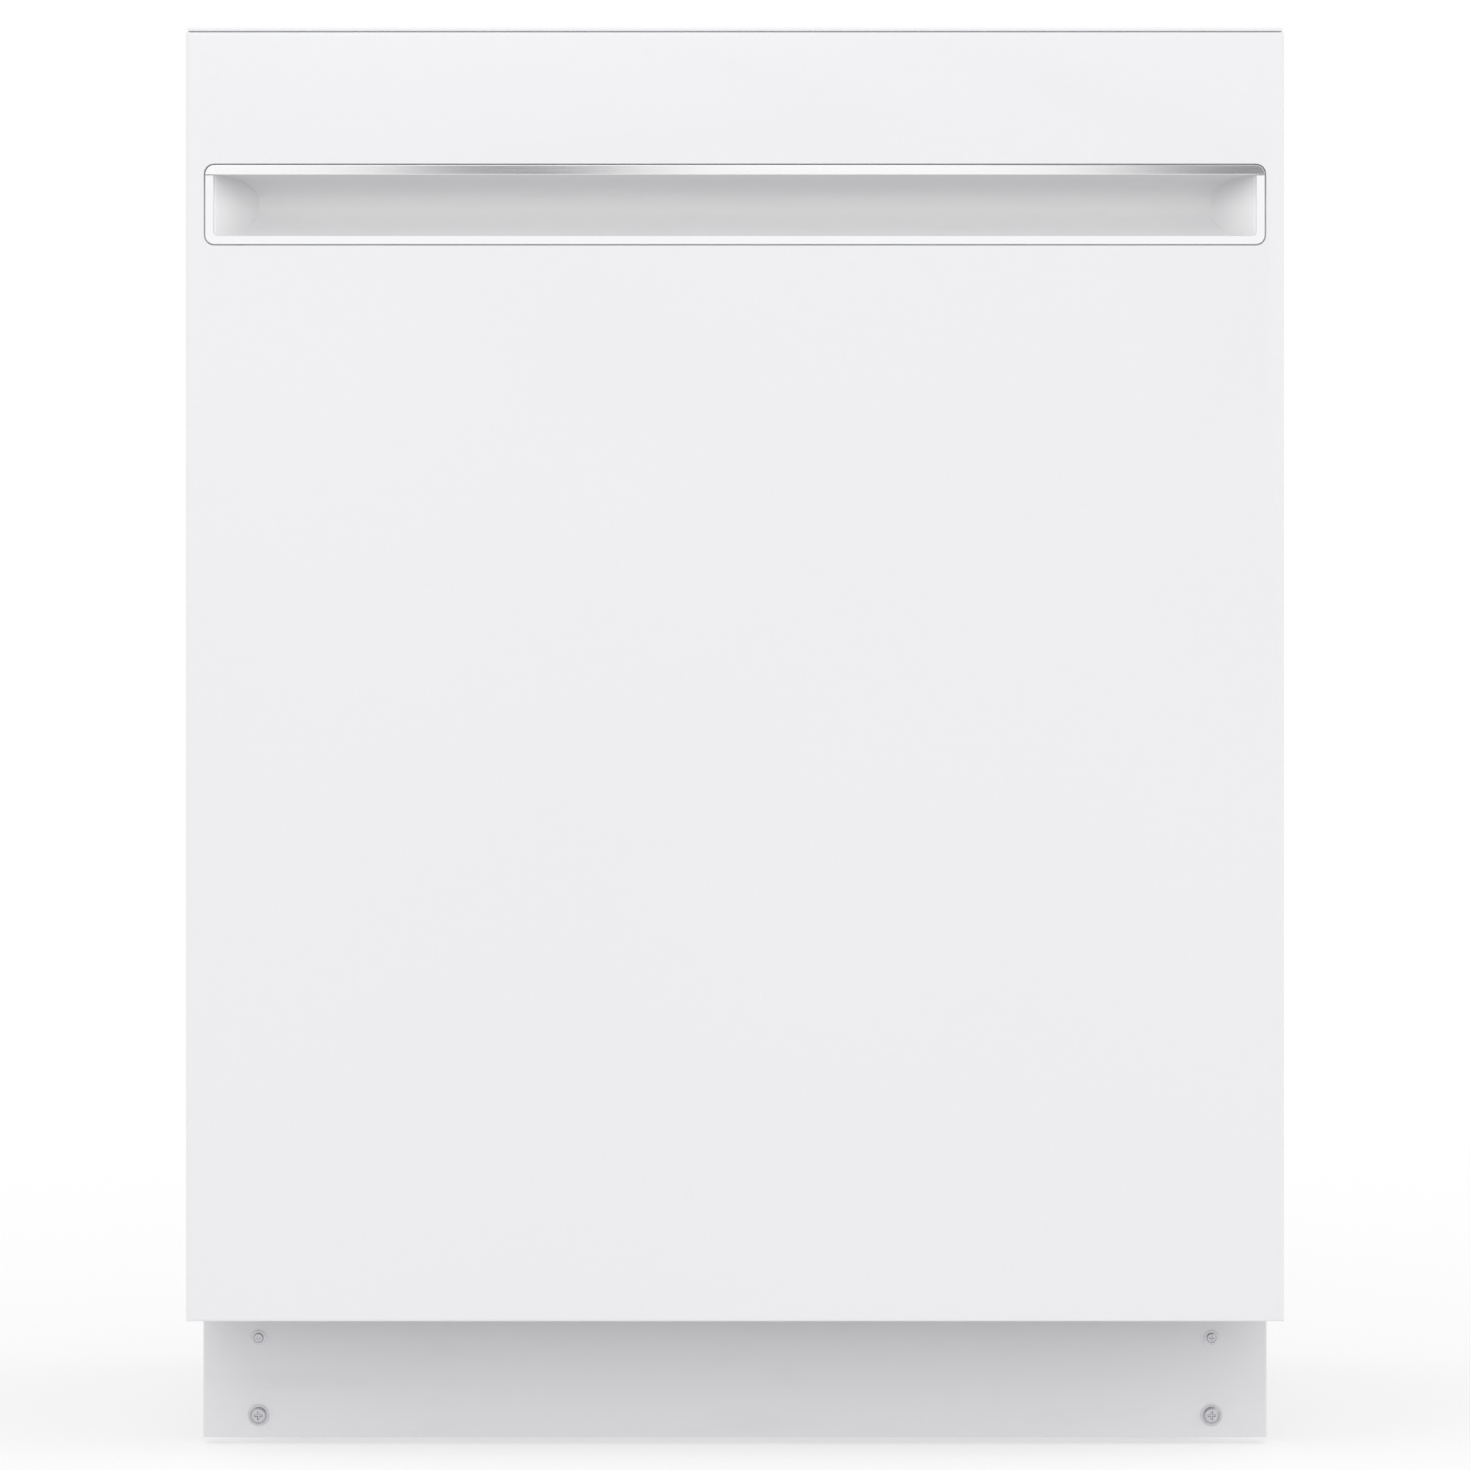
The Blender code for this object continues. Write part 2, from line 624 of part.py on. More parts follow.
def make_junction_box():
    front = BASE_FRONT + 0.020 + GAP
    x = LEG_X - 0.060
    case = block("junction_box", (x - 0.038, front, 0.035), (x + 0.030, front + 0.062, 0.082), ZINC,
                 0.002, "y")
    join(case, rod("knockout", (x - 0.010, front + 0.060, 0.058), (x - 0.010, front + 0.066, 0.058),
                   0.011, ZINC, 14))


# ---------------------------------------------------------------- inside the tub
ARM_HALF = min(INNER_HALF, (INNER_REAR - TUB_FRONT) / 2) - 0.036
LOWER_ARM_Z = FLOOR + 0.0270
ARM_THICK = 0.011
HEATER_RING = 0.150
LOWER_RACK_FLOOR = FLOOR + 0.0605
UPPER_RACK_FLOOR = CEILING - 0.3095
FEED_Z = UPPER_RACK_FLOOR - 0.009
MIDDLE_ARM_Z = FEED_Z - 0.033
UPPER_ARM_Z = CEILING - 0.0460
STUB_RADIUS = 0.008
TUBE_Y = INNER_REAR - TUBE_RADIUS - 0.002
TUBE_TOP = CEILING - TUBE_RADIUS - 0.002
FILTER_AT = (0.058, SPIN_Y - 0.020)
FILTER_RADIUS = 0.033


def make_filters():
    top = FLOOR + GAP
    coarse = rod("coarse_filter", (0, SPIN_Y, top), (0, SPIN_Y, top + 0.002), SUMP_HOLE + 0.014,
                 STAINLESS, 32)
    cut(
        coarse,
        rod("hub_way", (0, SPIN_Y, top - 0.01), (0, SPIN_Y, top + 0.01), HUB_RADIUS + 0.001,
            STAINLESS, 16),
        rod("filter_way", (*FILTER_AT, top - 0.01), (*FILTER_AT, top + 0.01),
            FILTER_RADIUS + 0.001, STAINLESS, 24),
    )
    high, low = FLOOR + 0.0050, SUMP_BOTTOM + 0.032
    profile = [
        (0, high), (FILTER_RADIUS, high), (FILTER_RADIUS, low), (FILTER_RADIUS - 0.002, low),
        (FILTER_RADIUS - 0.002, high - 0.002), (0, high - 0.002),
    ]
    fine = turned("fine_filter", profile, GREY_PLASTIC, (*FILTER_AT, 0), 20)
    x, y = FILTER_AT
    join(fine, block("filter_grip", (x - 0.024, y - 0.004, high - 0.001),
                     (x + 0.024, y + 0.004, high + 0.015), GREY_PLASTIC))
    hang(pivot("filter_axis", (*FILTER_AT, 0)), fine)


def make_heater():
    """A ring round the sump whose two ends turn down through the tub's floor."""
    z = FLOOR + 0.010
    gap = math.asin(HEATER_FEET[1][0] / HEATER_RING)
    points = [(*HEATER_FEET[1], TUB_BOTTOM - 0.012)]
    steps = 24
    for step in range(steps + 1):
        turn = math.radians(90) - gap - (2 * math.pi - 2 * gap) * step / steps
        points.append((HEATER_RING * math.cos(turn), SPIN_Y + HEATER_RING * math.sin(turn), z))
    points.append((*HEATER_FEET[0], TUB_BOTTOM - 0.012))
    points[1] = (*HEATER_FEET[1], z)
    points[-2] = (*HEATER_FEET[0], z)
    as_meshes([wire_curve("heater_element", points, HEATER_RADIUS, STAINLESS, 1)])


def make_float():
    x, y = FLOAT_AT
    low = FLOOR + GAP
    profile = [
        (0, low + 0.020), (0.012, low + 0.018), (0.019, low + 0.012), (0.021, low + 0.004),
        (0.021, low), (FLOAT_STEM, low), (FLOAT_STEM, low - 0.030), (0, low - 0.030),
    ]
    cap = turned("float_cap", profile, GREY_PLASTIC, (x, y, 0), 16)
    hang(pivot("float_axis", (x, y, low)), cap)


def spray_blade(name, reach, low, high, angle):
    """A two-ended arm, widest at the hub, with round ends."""
    middle, tip = 0.026, 0.013
    points = []
    for end in (0, 1):
        for step in range(7):
            turn = math.radians(-90 + 30 * step)
            points.append((end, reach - tip + tip * math.cos(turn), tip * math.sin(turn)))
        points.append((end, 0.030, middle))
    spun = []
    for end, x, y in points:
        way = angle + math.pi * end
        spun.append((x * math.cos(way) - y * math.sin(way),
                     SPIN_Y + x * math.sin(way) + y * math.cos(way)))
    return outline_curve(name, spun, low, high, GREY_PLASTIC)


def make_spray_arms():
    """Three arms. The lower one sits on the sump's hub and the others hang from a stub."""
    arms = as_meshes([
        spray_blade("lower_spray_arm", ARM_HALF, LOWER_ARM_Z, LOWER_ARM_Z + ARM_THICK,
                    math.radians(28)),
        spray_blade("middle_spray_arm", ARM_HALF - 0.015, MIDDLE_ARM_Z, MIDDLE_ARM_Z + ARM_THICK,
                    math.radians(-20)),
        spray_blade("upper_spray_arm", ARM_HALF - 0.075, UPPER_ARM_Z, UPPER_ARM_Z + ARM_THICK,
                    math.radians(12)),
    ])
    lower, middle, upper = arms
    join(lower, rod("lower_hub", (0, SPIN_Y, FLOOR + 0.0165), (0, SPIN_Y, HUB_TOP + 0.0080), 0.024,
                    GREY_PLASTIC, 24))
    cut(lower, rod("lower_socket", (0, SPIN_Y, FLOOR), (0, SPIN_Y, HUB_TOP + 0.0020),
                   HUB_RADIUS + 0.0008, GREY_PLASTIC, 24))
    for arm, z in ((middle, MIDDLE_ARM_Z), (upper, UPPER_ARM_Z)):
        join(arm, rod("hub", (0, SPIN_Y, z - 0.002), (0, SPIN_Y, z + ARM_THICK + 0.006), 0.018,
                      GREY_PLASTIC, 20))
        cut(arm, rod("hub_bore", (0, SPIN_Y, z - 0.02), (0, SPIN_Y, z + 0.04),
                     STUB_RADIUS + 0.0008, GREY_PLASTIC, 20))
    for arm in arms:
        hang(pivot(f"{arm.name}_axis", (0, SPIN_Y, 0)), arm)


def hanging_stub(top, arm_z):
    """The stub that a hanging arm turns on, with the collar that keeps the arm up."""
    low = arm_z - 0.002 - 0.0010
    return [
        rod("stub", (0, SPIN_Y, top), (0, SPIN_Y, low - 0.003), STUB_RADIUS, GREY_PLASTIC, 20),
        rod("collar", (0, SPIN_Y, low), (0, SPIN_Y, low - 0.005), 0.013, GREY_PLASTIC, 16),
    ]


def make_supply_tube():
    """Carries water up the rear wall to the upper arm, with a spout for the upper rack."""
    low = FLOOR + TUBE_RADIUS + 0.0015
    route = [
        (0.000, TUBE_START_Y, TUB_BOTTOM - 0.014),
        (0.000, TUBE_START_Y, low - 0.007),
        (0.000, TUBE_START_Y + 0.007, low),
        (0.000, TUBE_Y - 0.035, low),
        (0.000, TUBE_Y - 0.010, low + 0.010),
        (0.000, TUBE_Y, low + 0.035),
        (0.000, TUBE_Y, TUBE_TOP - 0.035),
        (0.000, TUBE_Y - 0.010, TUBE_TOP - 0.010),
        (0.000, TUBE_Y - 0.035, TUBE_TOP),
        (0.000, SPIN_Y - 0.012, TUBE_TOP),
    ]
    tube = as_meshes([wire_curve("supply_tube", route, TUBE_RADIUS, GREY_PLASTIC, 3)])[0]
    join(
        tube,
        *hanging_stub(TUBE_TOP, UPPER_ARM_Z),
        rod("spout", (0, TUBE_Y, FEED_Z), (0, RACK_REAR + 0.0055, FEED_Z), 0.009, GREY_PLASTIC, 16),
    )


# ---------------------------------------------------------------- racks
RACK_FRONT = TUB_FRONT + 0.021
RACK_REAR = TUBE_Y - TUBE_RADIUS - 0.0175
WIRE, TINE = 0.0022, 0.0018
CROSS = 0.0026  # height between crossing wires, which are welded where they touch
ALONG, ACROSS = 5, 6  # wires each way
LOWER_RACK_HALF = INNER_HALF - 0.0245
UPPER_RACK_HALF = INNER_HALF - 0.0285
WHEEL_RADIUS, WHEEL_THICK = 0.018, 0.0065
CHANNEL_Z = UPPER_RACK_FLOOR + 0.065
CHANNEL_HALF = 0.015
CHANNEL_WALL = 0.002
ROLLER_RADIUS = CHANNEL_HALF - CHANNEL_WALL - 0.0005
ROLLER_YS = (TUB_FRONT + 0.036, TUB_FRONT + 0.090)
BASKET_LOW = Vector((LOWER_RACK_HALF - 0.170, RACK_FRONT + 0.014, LOWER_RACK_FLOOR + 0.0060))
BASKET_HIGH = Vector((LOWER_RACK_HALF - 0.012, RACK_FRONT + 0.124, LOWER_RACK_FLOOR + 0.130))


def spread(low, high, count):
    return [low + (high - low) * i / (count - 1) for i in range(count)]


def wire_basket(name, half, floor, rims, tines):
    """U-shaped floor wires both ways, closed rims round them, and rows of upright tines."""
    top = rims[-1] + 0.0010
    curves = []
    for x in spread(-half + 0.030, half - 0.030, ALONG):
        route = [(x, RACK_FRONT, top), (x, RACK_FRONT, floor), (x, RACK_REAR, floor),
                 (x, RACK_REAR, top)]
        curves.append(wire_curve("lengthwise", route, WIRE, RACK_VINYL))
    for y in spread(RACK_FRONT + 0.040, RACK_REAR - 0.030, ACROSS):
        route = [(-half, y, top), (-half, y, floor + CROSS), (half, y, floor + CROSS),
                 (half, y, top)]
        curves.append(wire_curve("crosswise", route, WIRE, RACK_VINYL))
    x, front, rear = half + CROSS, RACK_FRONT - CROSS, RACK_REAR + CROSS
    for z in rims:
        corners = [(-x, front, z), (x, front, z), (x, rear, z), (-x, rear, z)]
        curves.append(wire_curve("rim", corners, WIRE, RACK_VINYL, 0, True))
    for (x, y), height in tines:
        tine = [(x, y, floor), (x, y, floor + height)]
        curves.append(wire_curve("tine", tine, TINE, RACK_VINYL))
    wires = as_meshes(curves)
    wires[0].name = name
    return wires[0], wires[1:]


def make_lower_rack():
    floor = LOWER_RACK_FLOOR
    rims = (floor + 0.070, min(floor + 0.185, MIDDLE_ARM_Z - 0.033))
    half = LOWER_RACK_HALF
    ys = spread(RACK_FRONT + 0.040, RACK_REAR - 0.030, ACROSS)
    tines = [((x, y), 0.060) for x in (-half + 0.090, -half + 0.200) for y in ys[1:]]
    rack, others = wire_basket("lower_rack", half, floor, rims, tines)
    z = FLOOR + WHEEL_RADIUS + 0.0005
    for _, side in SIDES:
        low, high = between(side, half + 0.0080, half + 0.0080 + WHEEL_THICK)
        foot_low, foot_high = between(side, half - 0.0005, half + 0.0095)
        for y in ys[1:]:
            others.append(rod("wheel", (low, y, z), (high, y, z), WHEEL_RADIUS, RACK_VINYL, 12))
            others.append(block("wheel_bracket", (foot_low, y - 0.006, z - 0.006),
                                (foot_high, y + 0.006, floor + 0.030), RACK_VINYL))
    join(rack, *others)
    hang(pivot("lower_rack_axis", (0, 0, floor)), rack)


def make_basket():
    low, high = BASKET_LOW, BASKET_HIGH
    wall = Vector((0.002, 0.002, 0.002))
    basket = block("silverware_basket", low, high, GREY_PLASTIC, 0.006, "z")
    middle = (low.x + high.x) / 2
    hollows = [
        block("cell", (a, low.y + wall.y, low.z + wall.z), (b, high.y - wall.y, high.z + 0.05),
              GREY_PLASTIC)
        for a, b in ((low.x + wall.x, middle - 0.001), (middle + 0.001, high.x - wall.x))
    ]
    cut(basket, *hollows)
    y = (low.y + high.y) / 2
    handle_top = high.z + 0.032
    join(
        basket,
        block("divider_post", (middle - 0.001, y - 0.012, high.z - 0.02),
              (middle + 0.001, y + 0.012, handle_top - 0.002), GREY_PLASTIC),
        block("handle", (middle - 0.030, y - 0.006, handle_top - 0.008),
              (middle + 0.030, y + 0.006, handle_top), GREY_PLASTIC, 0.003, "x"),
    )
    hang(bpy.data.objects["lower_rack_axis"], basket)


def make_upper_rack():
    floor = UPPER_RACK_FLOOR
    half = UPPER_RACK_HALF
    rims = (CHANNEL_Z, floor + 0.135)
    ys = spread(RACK_FRONT + 0.040, RACK_REAR - 0.030, ACROSS)
    tines = [((x, y), 0.045) for x in (-half + 0.110, half - 0.110) for y in ys]
    rack, others = wire_basket("upper_rack", half, floor, rims, tines)
    for _, side in SIDES:
        # A channel open to the outside, which runs over the rollers on the tub's side.
        back = between(side, half + 0.0030, half + 0.0070)
        lips = between(side, half + 0.0030, half + 0.0165)
        low, high = CHANNEL_Z - CHANNEL_HALF, CHANNEL_Z + CHANNEL_HALF
        ends = (RACK_FRONT + 0.002, RACK_REAR)
        others.append(block("channel_back", (back[0], ends[0], low), (back[1], ends[1], high),
                            RACK_VINYL))
        for a, b in ((low, low + CHANNEL_WALL), (high - CHANNEL_WALL, high)):
            others.append(block("channel_lip", (lips[0], ends[0], a), (lips[1], ends[1], b),
                                RACK_VINYL))
    others.append(rod("feed", (0, RACK_REAR + 0.0045, FEED_Z), (0, SPIN_Y - 0.012, FEED_Z), 0.010,
                      RACK_VINYL, 16))
    others += hanging_stub(FEED_Z, MIDDLE_ARM_Z)
    join(rack, *others)
    hang(pivot("upper_rack_axis", (0, 0, floor)), rack)


def make_rollers():
    for word, side in SIDES:
        back = between(side, INNER_HALF - 0.0075, INNER_HALF - GAP)
        low, high = CHANNEL_Z - 0.014, CHANNEL_Z + 0.014
        plate = block(f"rack_rollers_{word}", (back[0], ROLLER_YS[0] - 0.018, low),
                      (back[1], ROLLER_YS[1] + 0.018, high), GREY_PLASTIC)
        wheels = []
        for y in ROLLER_YS:
            x = between(side, UPPER_RACK_HALF + 0.0085, INNER_HALF - 0.0110)
            wheels.append(rod("roller", (x[0], y, CHANNEL_Z), (x[1], y, CHANNEL_Z), ROLLER_RADIUS,
                              GREY_PLASTIC, 16))
            x = between(side, UPPER_RACK_HALF + 0.0100, INNER_HALF - 0.0040)
            wheels.append(rod("axle", (x[0], y, CHANNEL_Z), (x[1], y, CHANNEL_Z), 0.004,
                              GREY_PLASTIC, 10))
        join(plate, *wheels)


# ---------------------------------------------------------------- around the tub
BLANKET_THICK = 0.0050
BLANKET_OFF = 0.0010
BLANKET_LOW = SPRING_Z + 0.022
SEAL_HALF = TUB_HALF - 0.003


def make_blanket():
    off, thick = BLANKET_OFF, BLANKET_OFF + BLANKET_THICK
    blanket = block(
        "insulation_blanket", (-TUB_HALF - thick, TUB_FRONT, BLANKET_LOW - 0.04),
        (TUB_HALF + thick, TUB_REAR + thick, TUB_TOP + thick), FELT, 0.012, "xyz",
    )
    trims = [
        block("blanket_front", (-HALF, FRONT, 0), (HALF, TUB_FRONT + 0.045, TOP), FELT),
        block("blanket_under", (-HALF, FRONT, 0), (HALF, REAR, BLANKET_LOW), FELT),
    ]
    inside = block(
        "blanket_inside", (-TUB_HALF - off, TUB_FRONT - 0.05, BLANKET_LOW - 0.05),
        (TUB_HALF + off, TUB_REAR + off, TUB_TOP + off), FELT, 0.008, "xyz",
    )
    cut(blanket, inside, *trims)


def make_gasket():
    """Three-sided seal in the tub's front flange, open along the sill."""
    back, front = TUB_FRONT - GAP, LINER_REAR + GAP
    inner = SEAL_HALF - 0.0075
    high = TUB_TOP - 0.002
    gasket = block("door_gasket", (-SEAL_HALF, front, FLOOR + 0.001), (SEAL_HALF, back, high), RUBBER,
                   0.012, "y")
    cut(gasket, block("gasket_room", (-inner, front - 0.01, FLOOR - 0.05),
                      (inner, back + 0.01, high - 0.010), RUBBER, 0.006, "y"))


def make_strike():
    """The tongue on the tub's front edge that the door latch holds."""
    z = STRIKE_Z
    plate = block("door_strike", (-0.030, TUB_FRONT + 0.002 + GAP, CEILING - 0.020),
                  (0.030, TUB_FRONT + 0.004 + GAP, CEILING - 0.0015), ZINC)
    join(
        plate,
        block("tongue", (-0.011, LINER_REAR - 0.014, z - 0.0015),
              (0.011, TUB_FRONT + 0.0035, z + 0.0015), ZINC),
        block("bead", (-0.011, LINER_REAR - 0.016, z - 0.0030), (0.011, LINER_REAR - 0.011, z + 0.0030),
              ZINC, 0.0015, "x"),
    )


def make_mounting_brackets():
    """Folded tabs on the tub's roof that are screwed up into the counter."""
    thick = 0.0015
    for word, side in SIDES:
        x = side * (TUB_HALF - 0.090)
        low = TUB_TOP + GAP
        high = TOP - 0.003
        y = TUB_FRONT + 0.012
        tab = block(f"mounting_bracket_{word}", (x - 0.015, y, low), (x + 0.015, y + 0.028, low + thick),
                    ZINC)
        join(
            tab,
            block("riser", (x - 0.015, y, low), (x + 0.015, y + thick, high), ZINC),
            block("top_tab", (x - 0.015, y, high - thick), (x + 0.015, y + 0.026, high), ZINC),
        )
        cut(tab, rod("tab_hole", (x, y + 0.018, high - 0.005), (x, y + 0.018, high + 0.005), 0.0025,
                     ZINC, 10))


# ---------------------------------------------------------------- door shell and handle
POCKET_TOP = PANEL_TOP - 0.0727  # middle of the fine gap round the handle trim
POCKET_TALL = 0.0442
POCKET_BOTTOM = POCKET_TOP - POCKET_TALL
TRIM_HALF = HALF - 0.01025
TRIM_GAP = 0.0004
TRIM_CORNER = 0.0052
LIP_TALL = 0.0056
TRIM_EDGE = 0.0049
TRIM_THICK = 0.0015
MOUTH_HALF = TRIM_HALF - TRIM_EDGE
MOUTH_LOW, MOUTH_HIGH = POCKET_BOTTOM + TRIM_EDGE, POCKET_TOP - LIP_TALL
POCKET_DEPTH = 0.038
POCKET_SLOPE = 0.0225  # how far each end wall leans in at the deepest point
POCKET_WALL = 0.0020
PANEL_RETURN = 0.037
STRIKE_Z = CEILING - 0.0145

DISPENSER_AT = (0.075, LINER_REAR, FLOOR + 0.345)
DISPENSER_HALF_W, DISPENSER_HALF_H = 0.090, 0.068
TRAY_IN = 0.0060
LINER_HALF = TUB_HALF - 0.005
SIDE_FOLD_IN = 0.0012  # edge of the door to the liner's folded edge
LEAF_TALL = 0.150  # hinge arm's leaf above the hinge


def make_outer_panel():
    front = FRONT + SHEET
    panel = block(
        "door_outer_panel", (-HALF, FRONT, DOOR_BOTTOM), (HALF, FRONT + PANEL_RETURN, PANEL_TOP),
        WHITE_PAINT, 0.0018, "xz", 3,
    )
    room = block(
        "panel_room", (-HALF + SHEET, front, DOOR_BOTTOM + SHEET),
        (HALF - SHEET, FRONT + 0.06, PANEL_TOP - SHEET), WHITE_PAINT, 0.0008, "xz",
    )
    half = TRIM_HALF + TRIM_GAP
    window = block(
        "handle_window", (-half, FRONT - 0.01, POCKET_BOTTOM - TRIM_GAP),
        (half, FRONT + 0.01, POCKET_TOP + TRIM_GAP), WHITE_PAINT, TRIM_CORNER + TRIM_GAP, "y", 4,
    )
    # The upper return is short, so that the control fascia can reach down into the door.
    slot = block(
        "fascia_slot", (-HALF + 0.003, FRONT + 0.0120, PANEL_TOP - 0.006),
        (HALF - 0.003, FRONT + 0.06, PANEL_TOP + 0.01), WHITE_PAINT,
    )
    cut(panel, room, window, slot)


def scoop_profile(grow):
    """(depth, height) points of the pocket, from its lower front edge round to the upper one."""
    deep = POCKET_DEPTH + grow
    low, high = MOUTH_LOW - grow, MOUTH_HIGH + grow
    belly = MOUTH_LOW + 0.0176
    brow = MOUTH_LOW + 0.0225
    points = []
    steps = 8
    for step in range(steps + 1):
        turn = math.radians(90) * step / steps
        points.append((deep * math.sin(turn), belly - (belly - low) * math.cos(turn)))
    for step in range(steps + 1):
        turn = math.radians(90) * step / steps
        points.append((0.004 + (deep - 0.004) * math.cos(turn), brow + (high - brow) * math.sin(turn)))
    return points + [(0, high)]


def scoop(name, grow, start):
    """The pocket's convex hollow, or with grow its outside. The end walls lean in with depth."""
    points = []
    for depth, height in scoop_profile(grow):
        x = MOUTH_HALF + grow - POCKET_SLOPE * depth / (POCKET_DEPTH + grow)
        y = FRONT + max(depth, start)
        points += [(x, y, height), (-x, y, height)]
    return hull(name, points, WHITE_PLASTIC)


def make_handle():
    back = FRONT + SHEET + 0.0010  # front of the pocket's flange, behind the panel
    flange = block(
        "handle_pocket", (-TRIM_HALF - 0.006, back, POCKET_BOTTOM - 0.006),
        (TRIM_HALF + 0.006, back + 0.0018, POCKET_TOP + 0.006), WHITE_PLASTIC, 0.004, "y",
    )
    join(flange, scoop("pocket_outside", POCKET_WALL, SHEET + 0.0014))
    cut(flange, scoop("pocket_hollow", 0.0, -0.010))

    rim_front = FRONT + 0.0002
    rim_back = rim_front + TRIM_THICK
    inner_high = POCKET_TOP - LIP_TALL - GAP
    half = TRIM_HALF - TRIM_GAP
    trim = block(
        "handle_trim", (-half, rim_front, POCKET_BOTTOM + TRIM_GAP), (half, rim_back, POCKET_TOP),
        WHITE_PLASTIC, TRIM_CORNER - TRIM_GAP, "y", 4,
    )
    cut(
        trim,
        block("trim_mouth", (-MOUTH_HALF, rim_front - 0.01, MOUTH_LOW),
              (MOUTH_HALF, rim_back + 0.01, POCKET_TOP + 0.01), WHITE_PLASTIC, 0.0022, "y"),
        block("trim_top", (-half - 0.01, rim_front - 0.01, inner_high),
              (half + 0.01, rim_back + 0.01, POCKET_TOP + 0.02), WHITE_PLASTIC),
    )
    lip = block(
        "handle_lip", (-half, rim_front, POCKET_BOTTOM), (half, rim_back, POCKET_TOP - TRIM_GAP),
        POLISHED_TRIM, TRIM_CORNER - TRIM_GAP, "y", 4,
    )
    cut(lip, block("lip_under", (-half - 0.01, rim_front - 0.01, POCKET_BOTTOM - 0.01),
                   (half + 0.01, rim_back + 0.01, MOUTH_HIGH), POLISHED_TRIM))
    return [flange, trim, lip]


def make_liner():
    """Stainless inner door: a pan with side flanges and a shallow pressed tray."""
    low, high = DOOR_BOTTOM + 0.010, TUB_TOP - 0.001
    liner = block(
        "door_inner_liner", (-LINER_HALF, LINER_REAR - 0.020, low), (LINER_HALF, LINER_REAR, high),
        STAINLESS, 0.003, "xz",
    )
    pan = block(
        "liner_room", (-LINER_HALF + SHEET, LINER_REAR - 0.05, low + SHEET),
        (LINER_HALF - SHEET, LINER_REAR - SHEET, high - SHEET), STAINLESS,
    )
    tray = Vector((LINER_HALF - 0.045, low + 0.060, high - 0.060))
    pressed = block(
        "tray_outside", (-tray.x, LINER_REAR - TRAY_IN - SHEET, tray.y),
        (tray.x, LINER_REAR - SHEET / 2, tray.z), STAINLESS, 0.010, "y",
    )
    hollow = block(
        "tray_hollow", (-tray.x + SHEET, LINER_REAR - TRAY_IN, tray.y + SHEET),
        (tray.x - SHEET, LINER_REAR + 0.01, tray.z - SHEET), STAINLESS, 0.009, "y",
    )
    x, _, z = DISPENSER_AT
    opening = block(
        "dispenser_opening", (x - DISPENSER_HALF_W, LINER_REAR - 0.03, z - DISPENSER_HALF_H),
        (x + DISPENSER_HALF_W, LINER_REAR + 0.01, z + DISPENSER_HALF_H), STAINLESS, 0.006, "y",
    )
    strike = block(
        "strike_opening", (-0.014, LINER_REAR - 0.01, STRIKE_Z - 0.007),
        (0.014, LINER_REAR + 0.01, STRIKE_Z + 0.007), STAINLESS,
    )
    # Folded edges that close the door's sides, above the leaves of the hinge arms.
    wings = []
    for word, side in SIDES:
        inner, outer = between(side, LINER_HALF - SHEET / 2, HALF - SIDE_FOLD_IN)
        wings.append(
            block(f"side_fold_{word}", (inner, FRONT + PANEL_RETURN + GAP, HINGE.z + LEAF_TALL + 0.006),
                  (outer, FRONT + PANEL_RETURN + GAP + SHEET, high), STAINLESS)
        )
    cut(liner, pan)
    join(liner, pressed, *wings)
    cut(liner, hollow, opening, strike)
    return [liner]


def make_latch():
    z = STRIKE_Z
    front, back = LINER_REAR - SHEET - 0.030, LINER_REAR - SHEET - GAP
    latch = block("door_latch", (-0.028, front, z - 0.012), (0.028, back, z + 0.0125), DARK_PLASTIC)
    cut(
        latch,
        block("latch_mouth", (-0.013, front + 0.012, z - 0.006), (0.013, back + 0.01, z + 0.006),
              DARK_PLASTIC),
    )
    return [latch]


def make_bottom_seal():
    seal = block(
        "door_bottom_seal", (-SEAL_HALF + 0.014, LINER_REAR + GAP, FLANGE_LOW - 0.002),
        (SEAL_HALF - 0.014, TUB_FRONT - 0.0010, FLANGE_LOW + 0.007), RUBBER, 0.0015, "x",
    )
    return [seal]


def make_sound_pad():
    back = FRONT + SHEET + GAP
    return [block("door_sound_pad", (-HALF + 0.030, back, DOOR_BOTTOM + 0.030),
                  (HALF - 0.030, back + 0.0035, POCKET_BOTTOM - 0.020), BITUMEN)]


# ---------------------------------------------------------------- controls on the door's upper edge
FASCIA_FRONT = FRONT + 0.0028
FASCIA_PLATE = 0.0024
FASCIA_HALF = HALF - 0.0008
BUTTON_Y = (FASCIA_FRONT + LINER_REAR) / 2
BUTTON_W, BUTTON_D, BUTTON_TALL = 0.026, 0.013, 0.0070
BUTTON_TRAVEL = 0.0010
BUTTON_CLEAR = 0.0004
BUTTONS = {"power": -0.215, "cycle": -0.150, "wash_options": -0.110, "dry_options": -0.070,
           "start": 0.215}
LENS_X = (0.040, 0.130)


